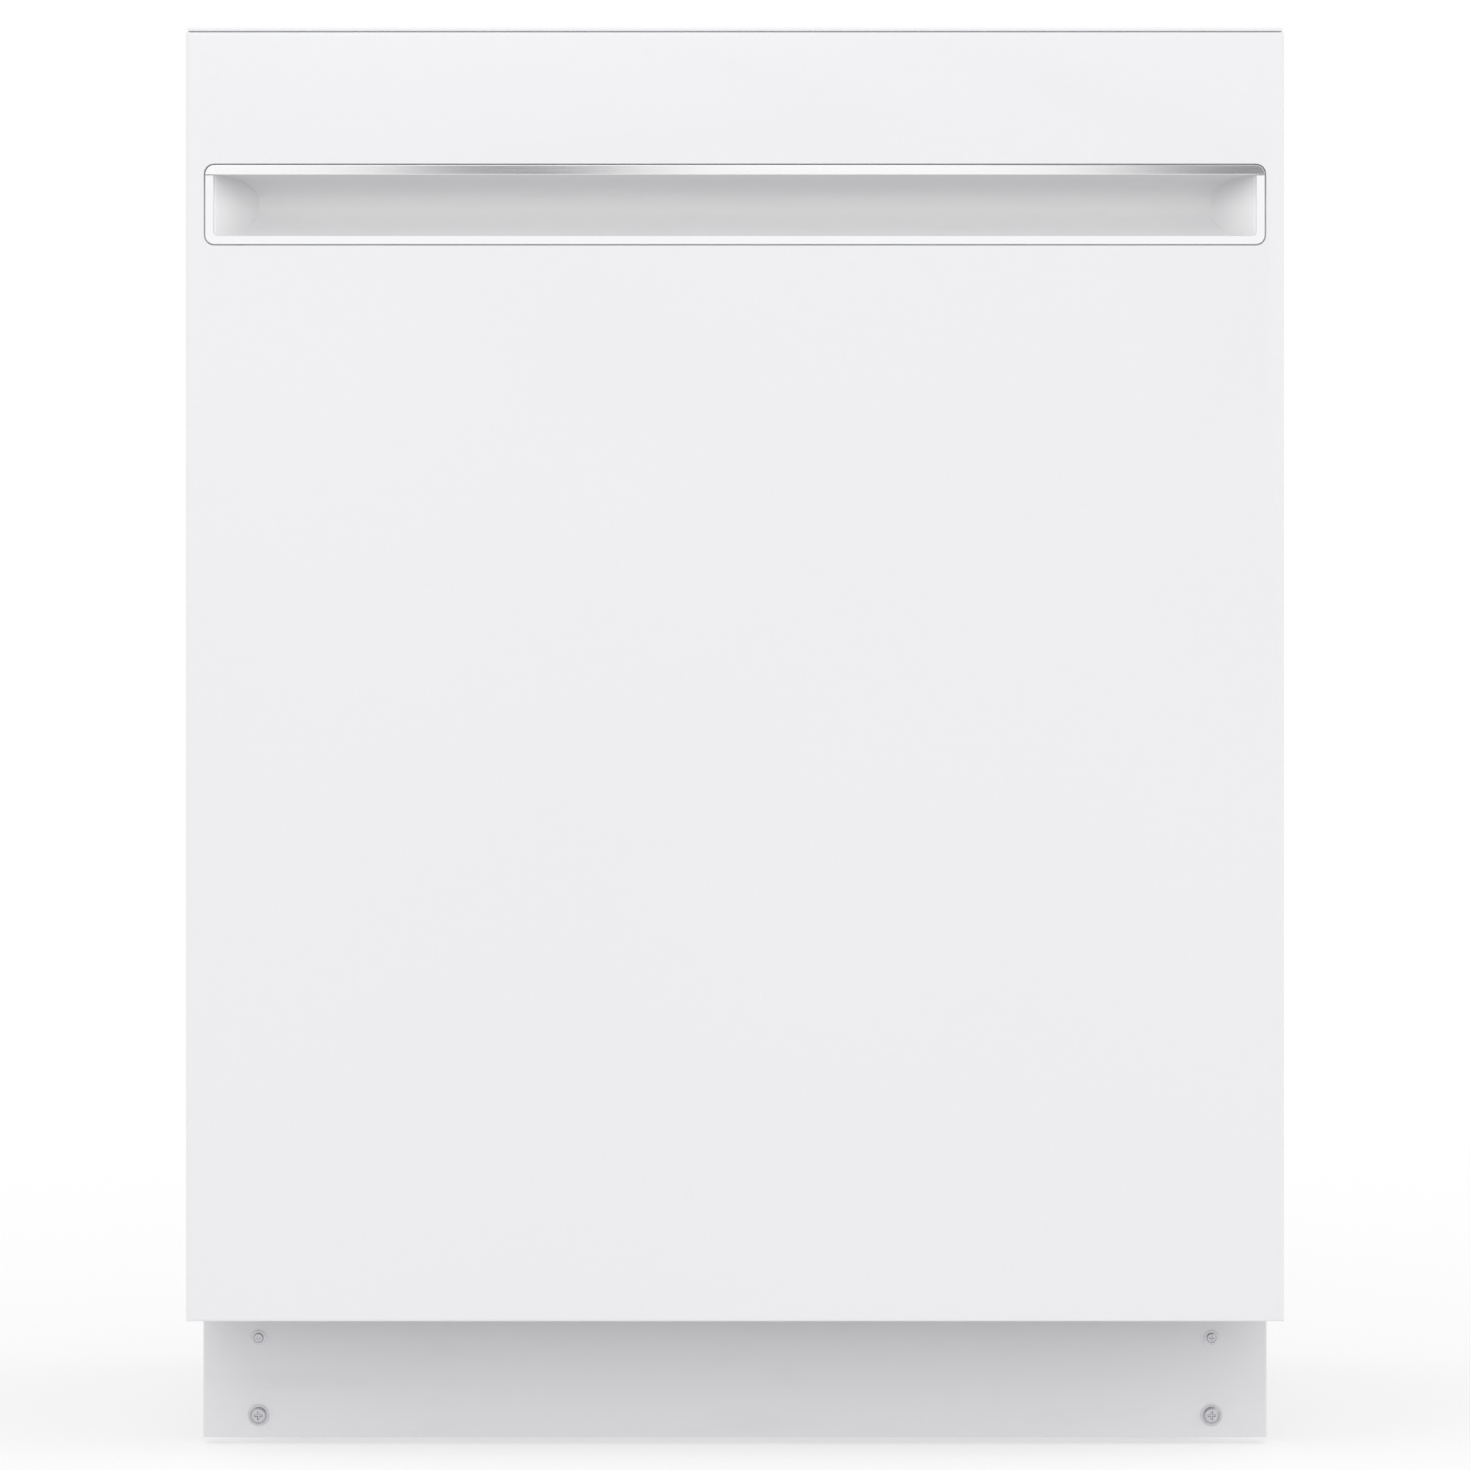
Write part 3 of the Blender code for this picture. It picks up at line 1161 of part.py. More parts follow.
def make_fascia():
    low = TOP - FASCIA_PLATE
    fascia = block("control_fascia", (-FASCIA_HALF, FASCIA_FRONT, low), (FASCIA_HALF, LINER_REAR, TOP),
                   WHITE_PLASTIC, 0.0008, "x")
    skirt_half = HALF - 0.0045
    join(
        fascia,
        block("rear_skirt", (-skirt_half, LINER_REAR - 0.0022, TUB_TOP),
              (skirt_half, LINER_REAR, TOP - 0.001), WHITE_PLASTIC),
        block("front_skirt", (-skirt_half, FRONT + 0.0150, PANEL_TOP - 0.022),
              (skirt_half, FRONT + 0.0170, TOP - 0.001), WHITE_PLASTIC),
    )
    holes = []
    for x in BUTTONS.values():
        holes.append(
            block("button_hole",
                  (x - BUTTON_W / 2 - BUTTON_CLEAR, BUTTON_Y - BUTTON_D / 2 - BUTTON_CLEAR, low - 0.01),
                  (x + BUTTON_W / 2 + BUTTON_CLEAR, BUTTON_Y + BUTTON_D / 2 + BUTTON_CLEAR, TOP + 0.01),
                  WHITE_PLASTIC, 0.002, "z")
        )
    holes.append(
        block("lens_hole", (LENS_X[0] - GAP, BUTTON_Y - 0.0054, low - 0.01),
              (LENS_X[1] + GAP, BUTTON_Y + 0.0054, TOP + 0.01), WHITE_PLASTIC)
    )
    cut(fascia, *holes)
    lens = block("status_lens", (LENS_X[0], BUTTON_Y - 0.0050, low),
                 (LENS_X[1], BUTTON_Y + 0.0050, TOP - 0.0001), SMOKED)
    board_top = TOP - BUTTON_TALL - BUTTON_TRAVEL - 0.0008
    board = block("control_board", (-0.240, FRONT + 0.0180, board_top - 0.0016),
                  (0.240, LINER_REAR - 0.0120, board_top), CIRCUIT)
    return [fascia, lens, board]


def make_buttons(door):
    for word, x in BUTTONS.items():
        name = f"button_{word}"
        top = TOP - 0.0002
        cap = block(name, (x - BUTTON_W / 2, BUTTON_Y - BUTTON_D / 2, top - BUTTON_TALL),
                    (x + BUTTON_W / 2, BUTTON_Y + BUTTON_D / 2, top), WHITE_PLASTIC, 0.002, "z")
        axis = pivot(f"{name}_axis", (x, BUTTON_Y, top))
        hang(axis, cap)
        hang(door, axis)


# ---------------------------------------------------------------- detergent dispenser
CUP_DEPTH = 0.022
CUP_HALF = 0.029
CUP_DX, CUP_DZ = -0.042, -0.024
CAP_DX, CAP_DZ = 0.050, -0.020
CAP_RADIUS = 0.019


def make_dispenser(door):
    x, y, z = DISPENSER_AT
    seat = y - TRAY_IN  # the tray's face
    flange = block(
        "dispenser_housing", (x - DISPENSER_HALF_W - 0.006, seat + GAP, z - DISPENSER_HALF_H - 0.006),
        (x + DISPENSER_HALF_W + 0.006, seat + 0.0035, z + DISPENSER_HALF_H + 0.006), GREY_PLASTIC,
        0.008, "y",
    )
    body = block(
        "dispenser_body", (x - DISPENSER_HALF_W + 0.002, seat - 0.030, z - DISPENSER_HALF_H + 0.002),
        (x + DISPENSER_HALF_W - 0.002, seat + 0.002, z + DISPENSER_HALF_H - 0.002), GREY_PLASTIC,
        0.005, "y",
    )
    join(flange, body)
    cup_x, cup_z = x + CUP_DX, z + CUP_DZ
    cap_x, cap_z = x + CAP_DX, z + CAP_DZ
    face = seat + 0.0035
    cut(
        flange,
        block("cup", (cup_x - CUP_HALF, face - CUP_DEPTH, cup_z - CUP_HALF),
              (cup_x + CUP_HALF, face + 0.01, cup_z + CUP_HALF), GREY_PLASTIC, 0.006, "y"),
        rod("cap_seat", (cap_x, face - 0.010, cap_z), (cap_x, face + 0.01, cap_z),
            CAP_RADIUS + 0.0008, GREY_PLASTIC, 20),
    )
    lid_y = face + 0.0005
    lid = block("dispenser_lid", (cup_x - CUP_HALF - 0.006, lid_y, cup_z - CUP_HALF - 0.006),
                (cup_x + CUP_HALF + 0.006, lid_y + 0.0030, cup_z + CUP_HALF + 0.006), GREY_PLASTIC,
                0.005, "y")
    join(lid, block("lid_grip", (cup_x - 0.012, lid_y + 0.002, cup_z - CUP_HALF + 0.002),
                    (cup_x + 0.012, lid_y + 0.0055, cup_z - CUP_HALF + 0.007), GREY_PLASTIC))
    cap = rod("rinse_aid_cap", (cap_x, face - 0.009, cap_z), (cap_x, face + 0.001, cap_z), CAP_RADIUS,
              GREY_PLASTIC, 20)
    join(cap, block("cap_grip", (cap_x - 0.014, face, cap_z - 0.0025),
                    (cap_x + 0.014, face + 0.0050, cap_z + 0.0025), GREY_PLASTIC))
    lid_axis = pivot("dispenser_lid_axis", (cup_x, lid_y, cup_z))
    cap_axis = pivot("rinse_aid_cap_axis", (cap_x, face, cap_z))
    hang(lid_axis, lid)
    hang(cap_axis, cap)
    hang(door, flange, lid_axis, cap_axis)


# ---------------------------------------------------------------- hinge arms, links and springs
PIN_Y = HINGE.y + ARM_REACH * math.cos(math.radians(45))
PIN_SWING = ARM_REACH - ARM_REACH * math.sin(math.radians(45))  # rise at half opening
LINK_SLACK = 0.0020  # the pin's path is not quite in step with the link
LINK_REAR_Y = PIN_Y + 0.066
SPRING_WIRE = 0.0010
SPRING_CLEAR = 0.00125  # coil to the side of the tub
SPRING_RADIUS = SPRING_X - TUB_HALF - SPRING_WIRE - SPRING_CLEAR


def make_hinge_arms():
    arms = []
    for word, side in SIDES:
        low, high = between(side, ARM_INNER, ARM_OUTER)
        arm = side_plate(
            f"hinge_arm_{word}",
            [(HINGE.y, HINGE.z, 0.0115), (PIN_Y, SPRING_Z, 0.0075)], low, high, ZINC,
        )
        leaf = block("arm_leaf", (low, FRONT + 0.008, HINGE.z - 0.008),
                     (high, HINGE.y + 0.002, HINGE.z + LEAF_TALL), ZINC)
        pin_x = between(side, LINK_INNER - 0.0015, ARM_INNER + 0.001)
        pin = rod("spring_pin", (pin_x[0], PIN_Y, SPRING_Z), (pin_x[1], PIN_Y, SPRING_Z),
                  SPRING_PIN_RADIUS, ZINC, 12)
        join(arm, leaf, pin)
        cut(arm, rod("pivot_hole", (low - 0.01, HINGE.y, HINGE.z), (high + 0.01, HINGE.y, HINGE.z),
                     PIVOT_RADIUS + PIVOT_CLEARANCE, ZINC, 20))
        arms.append(arm)
    return arms


def make_spring_links():
    """A flat link with an upright eye round the arm's pin, and a stem back to the spring."""
    half_eye = SPRING_PIN_RADIUS + LINK_SLACK
    eye_low = SPRING_Z - SPRING_PIN_RADIUS - 0.0008
    eye_high = SPRING_Z + PIN_SWING + SPRING_PIN_RADIUS + 0.0008
    rim = 0.0035
    for word, side in SIDES:
        low, high = between(side, LINK_INNER, LINK_OUTER)
        name = f"spring_link_{word}"
        link = block(name, (low, PIN_Y - half_eye - rim, eye_low - rim),
                     (high, PIN_Y + half_eye + rim, eye_high + rim), SPRING_STEEL)
        join(link, block("stem", (low, PIN_Y + half_eye + 0.001, SPRING_Z - 0.003),
                         (high, LINK_REAR_Y, SPRING_Z + 0.003), SPRING_STEEL))
        cut(link, block("eye", (low - 0.01, PIN_Y - half_eye, eye_low),
                        (high + 0.01, PIN_Y + half_eye, eye_high), SPRING_STEEL))
        hang(pivot(f"{name}_axis", (side * LINK_INNER, PIN_Y, SPRING_Z)), link)


def make_springs():
    """Extension springs from the links back to the anchors on the base."""
    turns, per_turn = 14, 6
    for word, side in SIDES:
        x = side * SPRING_X
        front, rear = LINK_REAR_Y + GAP, SPRING_REAR_Y - GAP
        coil_front, coil_rear = front + 0.010, rear - 0.010
        route = [(x, front, SPRING_Z), (x, front + 0.005, SPRING_Z)]
        for step in range(turns * per_turn + 1):
            turn = 2 * math.pi * step / per_turn
            y = coil_front + (coil_rear - coil_front) * step / (turns * per_turn)
            route.append((x + SPRING_RADIUS * math.sin(turn), y,
                          SPRING_Z + SPRING_RADIUS * math.cos(turn)))
        route += [(x, rear - 0.005, SPRING_Z), (x, rear, SPRING_Z)]
        as_meshes([wire_curve(f"door_spring_{word}", route, SPRING_WIRE, SPRING_STEEL)])


# ---------------------------------------------------------------- assembly
def make_door():
    door = pivot("door_axis", HINGE)
    make_outer_panel()
    pieces = [bpy.data.objects["door_outer_panel"]]
    pieces += make_handle() + make_liner() + make_latch() + make_bottom_seal() + make_sound_pad()
    pieces += make_fascia() + make_hinge_arms()
    hang(door, *pieces)
    make_buttons(door)
    make_dispenser(door)


def shade():
    """Round pieces are shaded smooth, with their real edges kept sharp."""
    for obj in PIECES.objects:
        if obj.type == "MESH":
            obj.data.shade_smooth()
            obj.data.set_sharp_from_angle(angle=math.radians(35))


make_tub()
make_base()
make_kick_plate()
make_legs()
make_sump()
make_wash_pump()
make_drain_pump()
make_inlet_valve()
make_junction_box()
make_filters()
make_heater()
make_float()
make_spray_arms()
make_supply_tube()
make_lower_rack()
make_basket()
make_upper_rack()
make_rollers()
make_blanket()
make_gasket()
make_strike()
make_mounting_brackets()
make_door()
make_spring_links()
make_springs()
shade()
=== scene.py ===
import math
import random

import bmesh
import bpy
from mathutils import Matrix, Vector


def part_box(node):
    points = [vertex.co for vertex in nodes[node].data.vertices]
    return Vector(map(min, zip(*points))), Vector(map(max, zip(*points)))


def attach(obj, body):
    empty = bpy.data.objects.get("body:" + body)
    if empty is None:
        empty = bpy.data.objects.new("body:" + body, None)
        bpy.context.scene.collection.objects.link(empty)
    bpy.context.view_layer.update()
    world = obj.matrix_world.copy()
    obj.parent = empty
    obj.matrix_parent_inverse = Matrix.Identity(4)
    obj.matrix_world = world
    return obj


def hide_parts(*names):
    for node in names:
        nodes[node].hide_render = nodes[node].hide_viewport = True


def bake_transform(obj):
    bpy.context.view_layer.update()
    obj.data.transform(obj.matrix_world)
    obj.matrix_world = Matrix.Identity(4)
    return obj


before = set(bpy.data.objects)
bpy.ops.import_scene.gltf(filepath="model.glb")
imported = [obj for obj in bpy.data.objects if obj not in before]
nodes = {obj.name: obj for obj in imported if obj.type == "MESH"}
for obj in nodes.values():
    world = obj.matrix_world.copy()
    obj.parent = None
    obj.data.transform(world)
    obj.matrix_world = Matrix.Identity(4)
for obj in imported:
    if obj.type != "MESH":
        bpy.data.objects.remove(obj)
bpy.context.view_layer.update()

# ---------------------------------------------------------------- studio
# A white room: a pale floor that brightens into a white surround, one broad light in front and
# above, and two grey cards well behind the camera for the polished strip to mirror.
CAMERA_AT = (0.0, -3.905, 0.397)
FIELD_OF_VIEW = math.radians(12.79)

scene = bpy.context.scene
scene.view_settings.view_transform = "Standard"
camera = bpy.data.objects.new("camera", bpy.data.cameras.new("camera"))
camera.data.sensor_width = 36.0
camera.data.angle = FIELD_OF_VIEW
camera.data.clip_end = 60.0
camera.location = CAMERA_AT
camera.rotation_euler = (math.radians(90), 0, 0)
scene.collection.objects.link(camera)
scene.camera = camera

world = bpy.data.worlds.new("white_room")
world.use_nodes = True
world.node_tree.nodes["Background"].inputs["Color"].default_value = (1.0, 1.0, 1.0, 1)
world.node_tree.nodes["Background"].inputs["Strength"].default_value = 1.0
scene.world = world


class Value:
    """One socket of a finish, so that its maths reads as sums."""

    def __init__(self, finish, socket):
        self.finish = finish
        self.socket = socket

    def maths(self, operation, *others):
        return self.finish.node("ShaderNodeMath", {"operation": operation},
                                dict(enumerate((self, *others))))

    def __add__(self, other):
        return self.maths("ADD", other)

    def __mul__(self, other):
        return self.maths("MULTIPLY", other)

    def __rsub__(self, other):
        return self * -1.0 + other

    def between(self, low, high):
        """0 below low, 1 above high, and a soft rise from one to the other."""
        return self.finish.node("ShaderNodeMapRange", {"interpolation_type": "SMOOTHSTEP"},
                                {"Value": self, "From Min": low, "From Max": high})


class Finish:
    """A material, built up from one Principled shader."""

    def __init__(self, name, colour, roughness, metallic=0.0, **constants):
        self.material = bpy.data.materials.new(name)
        self.material.use_nodes = True
        self.tree = self.material.node_tree
        self.shader = self.tree.nodes["Principled BSDF"]
        self.material.diffuse_color = (*colour, 1)
        self.paint(colour)
        self.set("Roughness", roughness)
        self.set("Metallic", metallic)
        for socket, number in constants.items():
            self.set(socket.replace("_", " ").title().replace("Ior", "IOR"), number)

    def node(self, kind, settings=None, values=None, out=0):
        made = self.tree.nodes.new(kind)
        for key, setting in (settings or {}).items():
            setattr(made, key, setting)
        for key, value in (values or {}).items():
            if isinstance(value, Value):
                self.tree.links.new(value.socket, made.inputs[key])
            else:
                made.inputs[key].default_value = value
        return Value(self, made.outputs[out])

    def set(self, socket, value):
        if isinstance(value, Value):
            self.tree.links.new(value.socket, self.shader.inputs[socket])
        else:
            self.shader.inputs[socket].default_value = value

    def paint(self, colour):
        self.set("Base Color", colour if isinstance(colour, Value) else (*colour, 1))

    def place(self, stretch=(1, 1, 1)):
        """Metres in the machine's own frame, stretched along each axis."""
        here = self.node("ShaderNodeTexCoord", out="Object")
        return self.node("ShaderNodeVectorMath", {"operation": "MULTIPLY"}, {0: here, 1: stretch})

    def along(self, axis):
        return self.node("ShaderNodeSeparateXYZ", None, {0: self.place()}, axis)

    def noise(self, scale, detail=3.0, stretch=(1, 1, 1), rough=0.5):
        return self.node("ShaderNodeTexNoise", None,
                         {"Vector": self.place(stretch), "Scale": scale, "Detail": detail,
                          "Roughness": rough})

    def cells(self, scale, feature="F1", out="Distance"):
        return self.node("ShaderNodeTexVoronoi", {"feature": feature},
                         {"Vector": self.place(), "Scale": scale}, out)

    def blend(self, mask, first, second):
        tints = [c if isinstance(c, Value) else (*c, 1) for c in (first, second)]
        return self.node("ShaderNodeMix", {"data_type": "RGBA"},
                         {0: mask, 6: tints[0], 7: tints[1]}, 2)

    def mottle(self, mask, first, second):
        """Colours the finish from the first tint to the second as the mask rises."""
        self.paint(self.blend(mask, first, second))

    def dull(self, mask, spread, least):
        """Roughness that rises by the spread above its least value."""
        self.set("Roughness", mask * spread + least)

    def emboss(self, height, depth):
        """Height from 0 to 1, over a depth in metres."""
        self.set("Normal", self.node("ShaderNodeBump", None, {"Distance": depth, "Height": height}))


FLOOR_NEAR, FLOOR_FAR = 1.1, 2.6  # the floor's glow rises between these distances
LEAST_GLOW = 0.62

floor_finish = Finish("studio_floor", (0.93, 0.93, 0.94), 0.75)
distance = floor_finish.node("ShaderNodeVectorMath", {"operation": "LENGTH"},
                             {0: floor_finish.place()}, "Value")
glow = floor_finish.node("ShaderNodeEmission", None, {"Color": (1, 1, 1, 1), "Strength": 1.0})
fade = floor_finish.node("ShaderNodeMixShader", None,
                         {0: distance.between(FLOOR_NEAR, FLOOR_FAR) * (1 - LEAST_GLOW) + LEAST_GLOW})
floor_finish.tree.links.new(floor_finish.shader.outputs[0], fade.socket.node.inputs[1])
floor_finish.tree.links.new(glow.socket, fade.socket.node.inputs[2])
floor_finish.tree.links.new(fade.socket, floor_finish.tree.nodes["Material Output"].inputs[0])

floor_mesh = bpy.data.meshes.new("studio_floor")
floor_shape = bmesh.new()
bmesh.ops.create_circle(floor_shape, cap_ends=True, segments=96, radius=30.0)
floor_shape.to_mesh(floor_mesh)
floor_shape.free()
floor_mesh.materials.append(floor_finish.material)
floor = bpy.data.objects.new("studio_floor", floor_mesh)
floor.location.z = -0.0004
scene.collection.objects.link(floor)

# The cards stand 8 m in front of the door and are seen only in the polished strip.
CARD_Y, CARD_FOOT, CARD_TOP = -8.3, 0.7, 3.2
card_finish = Finish("studio_card", (0.19, 0.19, 0.20), 0.9)
for card_name, card_x, card_wide in (("card_left", -0.40, 0.34), ("card_right", 0.98, 0.52)):
    left, right = card_x - card_wide / 2, card_x + card_wide / 2
    card_mesh = bpy.data.meshes.new(card_name)
    card_mesh.from_pydata([(left, CARD_Y, CARD_FOOT), (right, CARD_Y, CARD_FOOT),
                           (right, CARD_Y, CARD_TOP), (left, CARD_Y, CARD_TOP)], [], [(0, 1, 2, 3)])
    card_mesh.materials.append(card_finish.material)
    card = bpy.data.objects.new(card_name, card_mesh)
    scene.collection.objects.link(card)

for lamp_name, lamp_at, lamp_size, watts in (
    ("front_light", (-0.6, -3.2, 2.9), 2.2, 19.0),
    ("side_light", (3.0, -0.8, 2.2), 1.8, 9.0),
):
    lamp_data = bpy.data.lights.new(lamp_name, "AREA")
    lamp_data.size = lamp_size
    lamp_data.energy = watts
    lamp = bpy.data.objects.new(lamp_name, lamp_data)
    lamp.location = lamp_at
    aim = Vector((0, 0, 0.45)) - Vector(lamp_at)
    lamp.rotation_euler = aim.to_track_quat("-Z", "Y").to_euler()
    scene.collection.objects.link(lamp)

# ---------------------------------------------------------------- door panel and kick plate
# Folded sheet steel, enamelled white: a level gloss with the faint orange peel of sprayed enamel.
# The kick plate is the same steel in a duller powder coat.


WELD = 0.00002


def soften(node, width, segments):
    """The CAD solid's own edges, broken by the small radius that a folded or moulded edge has."""
    tree = bpy.data.node_groups.new(f"{node}_edges", "GeometryNodeTree")
    for way in ("INPUT", "OUTPUT"):
        tree.interface.new_socket("Geometry", in_out=way, socket_type="NodeSocketGeometry")
    chain = [tree.nodes.new(kind) for kind in (
        "NodeGroupInput", "GeometryNodeMergeByDistance", "GeometryNodeRemoveAttribute",
        "GeometryNodeSetShadeSmooth", "NodeGroupOutput")]
    chain[1].inputs["Distance"].default_value = WELD
    chain[2].inputs["Name"].default_value = "custom_normal"
    for before, after in zip(chain, chain[1:]):
        tree.links.new(before.outputs[0], after.inputs[0])
    obj = nodes[node]
    obj.modifiers.new("weld", "NODES").node_group = tree
    flat = obj.modifiers.new("flat", "DECIMATE")
    flat.decimate_type = "DISSOLVE"
    flat.angle_limit = math.radians(0.6)
    edge = obj.modifiers.new("edge", "BEVEL")
    edge.width = width
    edge.segments = segments
    edge.limit_method = "ANGLE"
    edge.angle_limit = math.radians(38)
    edge.harden_normals = True
    edge.use_clamp_overlap = True


def dress(finish, width, *names, segments=2):
    """Gives each CAD solid its finish and the radius of its edges."""
    for name in names:
        nodes[name].material_slots[0].material = finish.material
        soften(name, width, segments)


enamel = Finish("white_enamel", (0.83, 0.83, 0.85), 0.30, coat_weight=0.35, coat_roughness=0.12)
cloud = enamel.noise(3.0, 2.0)
enamel.mottle(cloud, (0.775, 0.775, 0.790), (0.795, 0.795, 0.812))
enamel.dull(enamel.noise(60.0, 2.0), 0.05, 0.28)
enamel.emboss(enamel.noise(420.0, 1.0), 0.00006)
dress(enamel, 0.00035, "door_outer_panel")

kick_coat = Finish("kick_powder_coat", (0.80, 0.80, 0.81), 0.42)
scuff = kick_coat.noise(14.0, 4.0, (1, 1, 3)).between(0.55, 0.80)
kick_coat.mottle(scuff, (0.735, 0.735, 0.75), (0.71, 0.71, 0.72))
kick_coat.dull(scuff, 0.08, 0.40)
kick_coat.emboss(kick_coat.noise(1300.0, 2.0), 0.00004)
dress(kick_coat, 0.0004, "toe_kick")

# ---------------------------------------------------------------- pocket handle
# A moulded white scoop behind the panel, a flat moulded surround in the panel's window, and a
# thin polished strip along the upper edge, pressed in after the surround.
moulding = Finish("moulded_white", (0.83, 0.83, 0.845), 0.38)
moulding.dull(moulding.noise(180.0, 2.0), 0.06, 0.35)
moulding.emboss(moulding.noise(2600.0, 1.0), 0.000025)
dress(moulding, 0.00025, "handle_trim")
scoop = Finish("moulded_scoop", (0.84, 0.84, 0.85), 0.42)
# The scoop's colour is lighter low down and darker toward its roof: painted shade, standing in for the
# shadow that the lip casts into the pocket.
painted_roof_shade = scoop.along(2).between(0.686, 0.708)
scoop.mottle(painted_roof_shade, (0.87, 0.87, 0.875), (0.62, 0.62, 0.63))
scoop.emboss(scoop.noise(2600.0, 1.0), 0.000025)
dress(scoop, 0.0005, "handle_pocket", segments=3)

polish = Finish("polished_strip", (0.93, 0.93, 0.94), 0.16, 1.0)
hairline = polish.noise(900.0, 2.0, (0.02, 1, 1))
polish.mottle(hairline, (0.95, 0.95, 0.955), (0.98, 0.98, 0.985))
polish.dull(hairline, 0.04, 0.08)
polish.emboss(hairline, 0.000004)
dress(polish, 0.00030, "handle_lip", segments=3)

# ---------------------------------------------------------------- controls on the door's upper edge
# A moulded fascia with five white push buttons, each with a printed mark, a row of indicator
# dots, a smoked display window, and the circuit board that hangs under it.


AXES = {"X": Vector((1, 0, 0)), "Y": Vector((0, 1, 0)), "Z": Vector((0, 0, 1))}


def circle(centre, radius, count, plane="XY", start=0.0):
    """Points evenly round a circle, turning from the plane's first axis toward its second."""
    first, second = (AXES[letter] for letter in plane)
    turns = [start + 2 * math.pi * step / count for step in range(count)]
    return [Vector(centre) + (first * math.cos(a) + second * math.sin(a)) * radius for a in turns]


def middle(node):
    low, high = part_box(node)
    return (low + high) / 2


class Shape:
    """The faces of one piece, in metres in the machine's own frame."""

    def __init__(self):
        self.points = []
        self.faces = []

    def add(self, points, faces):
        start = len(self.points)
        self.points += [tuple(point) for point in points]
        self.faces += [tuple(start + corner for corner in face) for face in faces]
        return self

    def skin(self, rows, closed=False, capped=False):
        """Faces between rows of points. Closed joins a row's ends, capped fills the end rows."""
        across = len(rows[0])
        faces = []
        for row in range(len(rows) - 1):
            for step in range(across if closed else across - 1):
                here = row * across + step
                beside = row * across + (step + 1) % across
                faces.append((here, beside, beside + across, here + across))
        if capped:
            last = (len(rows) - 1) * across
            faces += [tuple(range(across))[::-1], tuple(range(last, last + across))]
        return self.add([point for row in rows for point in row], faces)

    def box(self, low, high):
        x, y, z = zip(low, high)
        rows = [[(x[0], y[0], h), (x[1], y[0], h), (x[1], y[1], h), (x[0], y[1], h)] for h in z]
        return self.skin(rows, True, True)

    def tube(self, path, radius, sides=12, looped=False):
        """A round bar along a path. One radius, or one for each point."""
        path = [Vector(point) for point in path]
        count = len(path)
        radii = radius if isinstance(radius, list) else [radius] * count
        before = [path[i - 1] if looped or i else path[0] for i in range(count)]
        after = [path[(i + 1) % count] if looped or i < count - 1 else path[i] for i in range(count)]
        ways = [(b - a).normalized() for a, b in zip(before, after)]
        normal = ways[0].orthogonal().normalized()
        rows = []
        for i, way in enumerate(ways):
            if i:
                normal = ways[i - 1].rotation_difference(way) @ normal
            side = way.cross(normal)
            turns = [2 * math.pi * step / sides for step in range(sides)]
            rows.append([path[i] + (normal * math.cos(turn) + side * math.sin(turn)) * radii[i]
                         for turn in turns])
        return self.skin(rows + rows[:1] if looped else rows, True, not looped)

    def rod(self, start, end, radius, sides):
        """A round bar with its end edges broken."""
        start, end = Vector(start), Vector(end)
        way = (end - start).normalized() * min(0.0003, radius * 0.4)
        thin = radius - way.length
        return self.tube([start, start + way, end - way, end], [thin, radius, radius, thin], sides)

    def turned(self, profile, centre, axis=(0, 0, 1), sides=48):
        """A round piece from (radius, height) points along an axis."""
        aim = Vector((0, 0, 1)).rotation_difference(Vector(axis))
        rows = [[Vector(centre) + aim @ point for point in circle((0, 0, height), radius, sides)]
                for radius, height in profile]
        return self.skin(rows, True, True)

    def bead(self, start, end, out, half, rise):
        """A low round-ended rib that stands out from a wall."""
        start, end, out = Vector(start), Vector(end), Vector(out)
        way = (end - start).normalized()
        side = way.cross(out)
        turns = [math.radians(6 + 84 * step / 5) for step in range(6)]
        rows = [(start + way * half * (1 - math.cos(turn)), math.sin(turn)) for turn in turns]
        rows += [(end - (place - start), size) for place, size in reversed(rows)]
        arch = [math.pi * step / 8 for step in range(9)]
        sections = [[place + side * half * size * math.cos(turn) + out * rise * size * math.sin(turn)
                     for turn in arch] for place, size in rows]
        return self.skin(sections, True, True)

    def fit(self, name, finish, body, slot, stands_for=(), edge=0.0, smooth=35, weld=True):
        """Makes the piece, gives it its finish and its body, and puts it in place of CAD nodes."""
        mesh = bpy.data.meshes.new(name)
        mesh.from_pydata(self.points, [], self.faces)
        made = bmesh.new()
        made.from_mesh(mesh)
        if weld:
            bmesh.ops.remove_doubles(made, verts=made.verts, dist=0.000004)
        bmesh.ops.recalc_face_normals(made, faces=made.faces)
        made.to_mesh(mesh)
        made.free()
        mesh.shade_smooth()
        mesh.set_sharp_from_angle(angle=math.radians(smooth))
        mesh.materials.append(finish.material)
        obj = bpy.data.objects.new(name, mesh)
        scene.collection.objects.link(obj)
        if edge:
            rounding = obj.modifiers.new("edge", "BEVEL")
            rounding.width = edge
            rounding.segments = 2
            rounding.limit_method = "ANGLE"
            rounding.angle_limit = math.radians(smooth)
            rounding.harden_normals = True
        if body:
            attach(obj, body)
        if stands_for:
            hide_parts(*stands_for)
        return obj


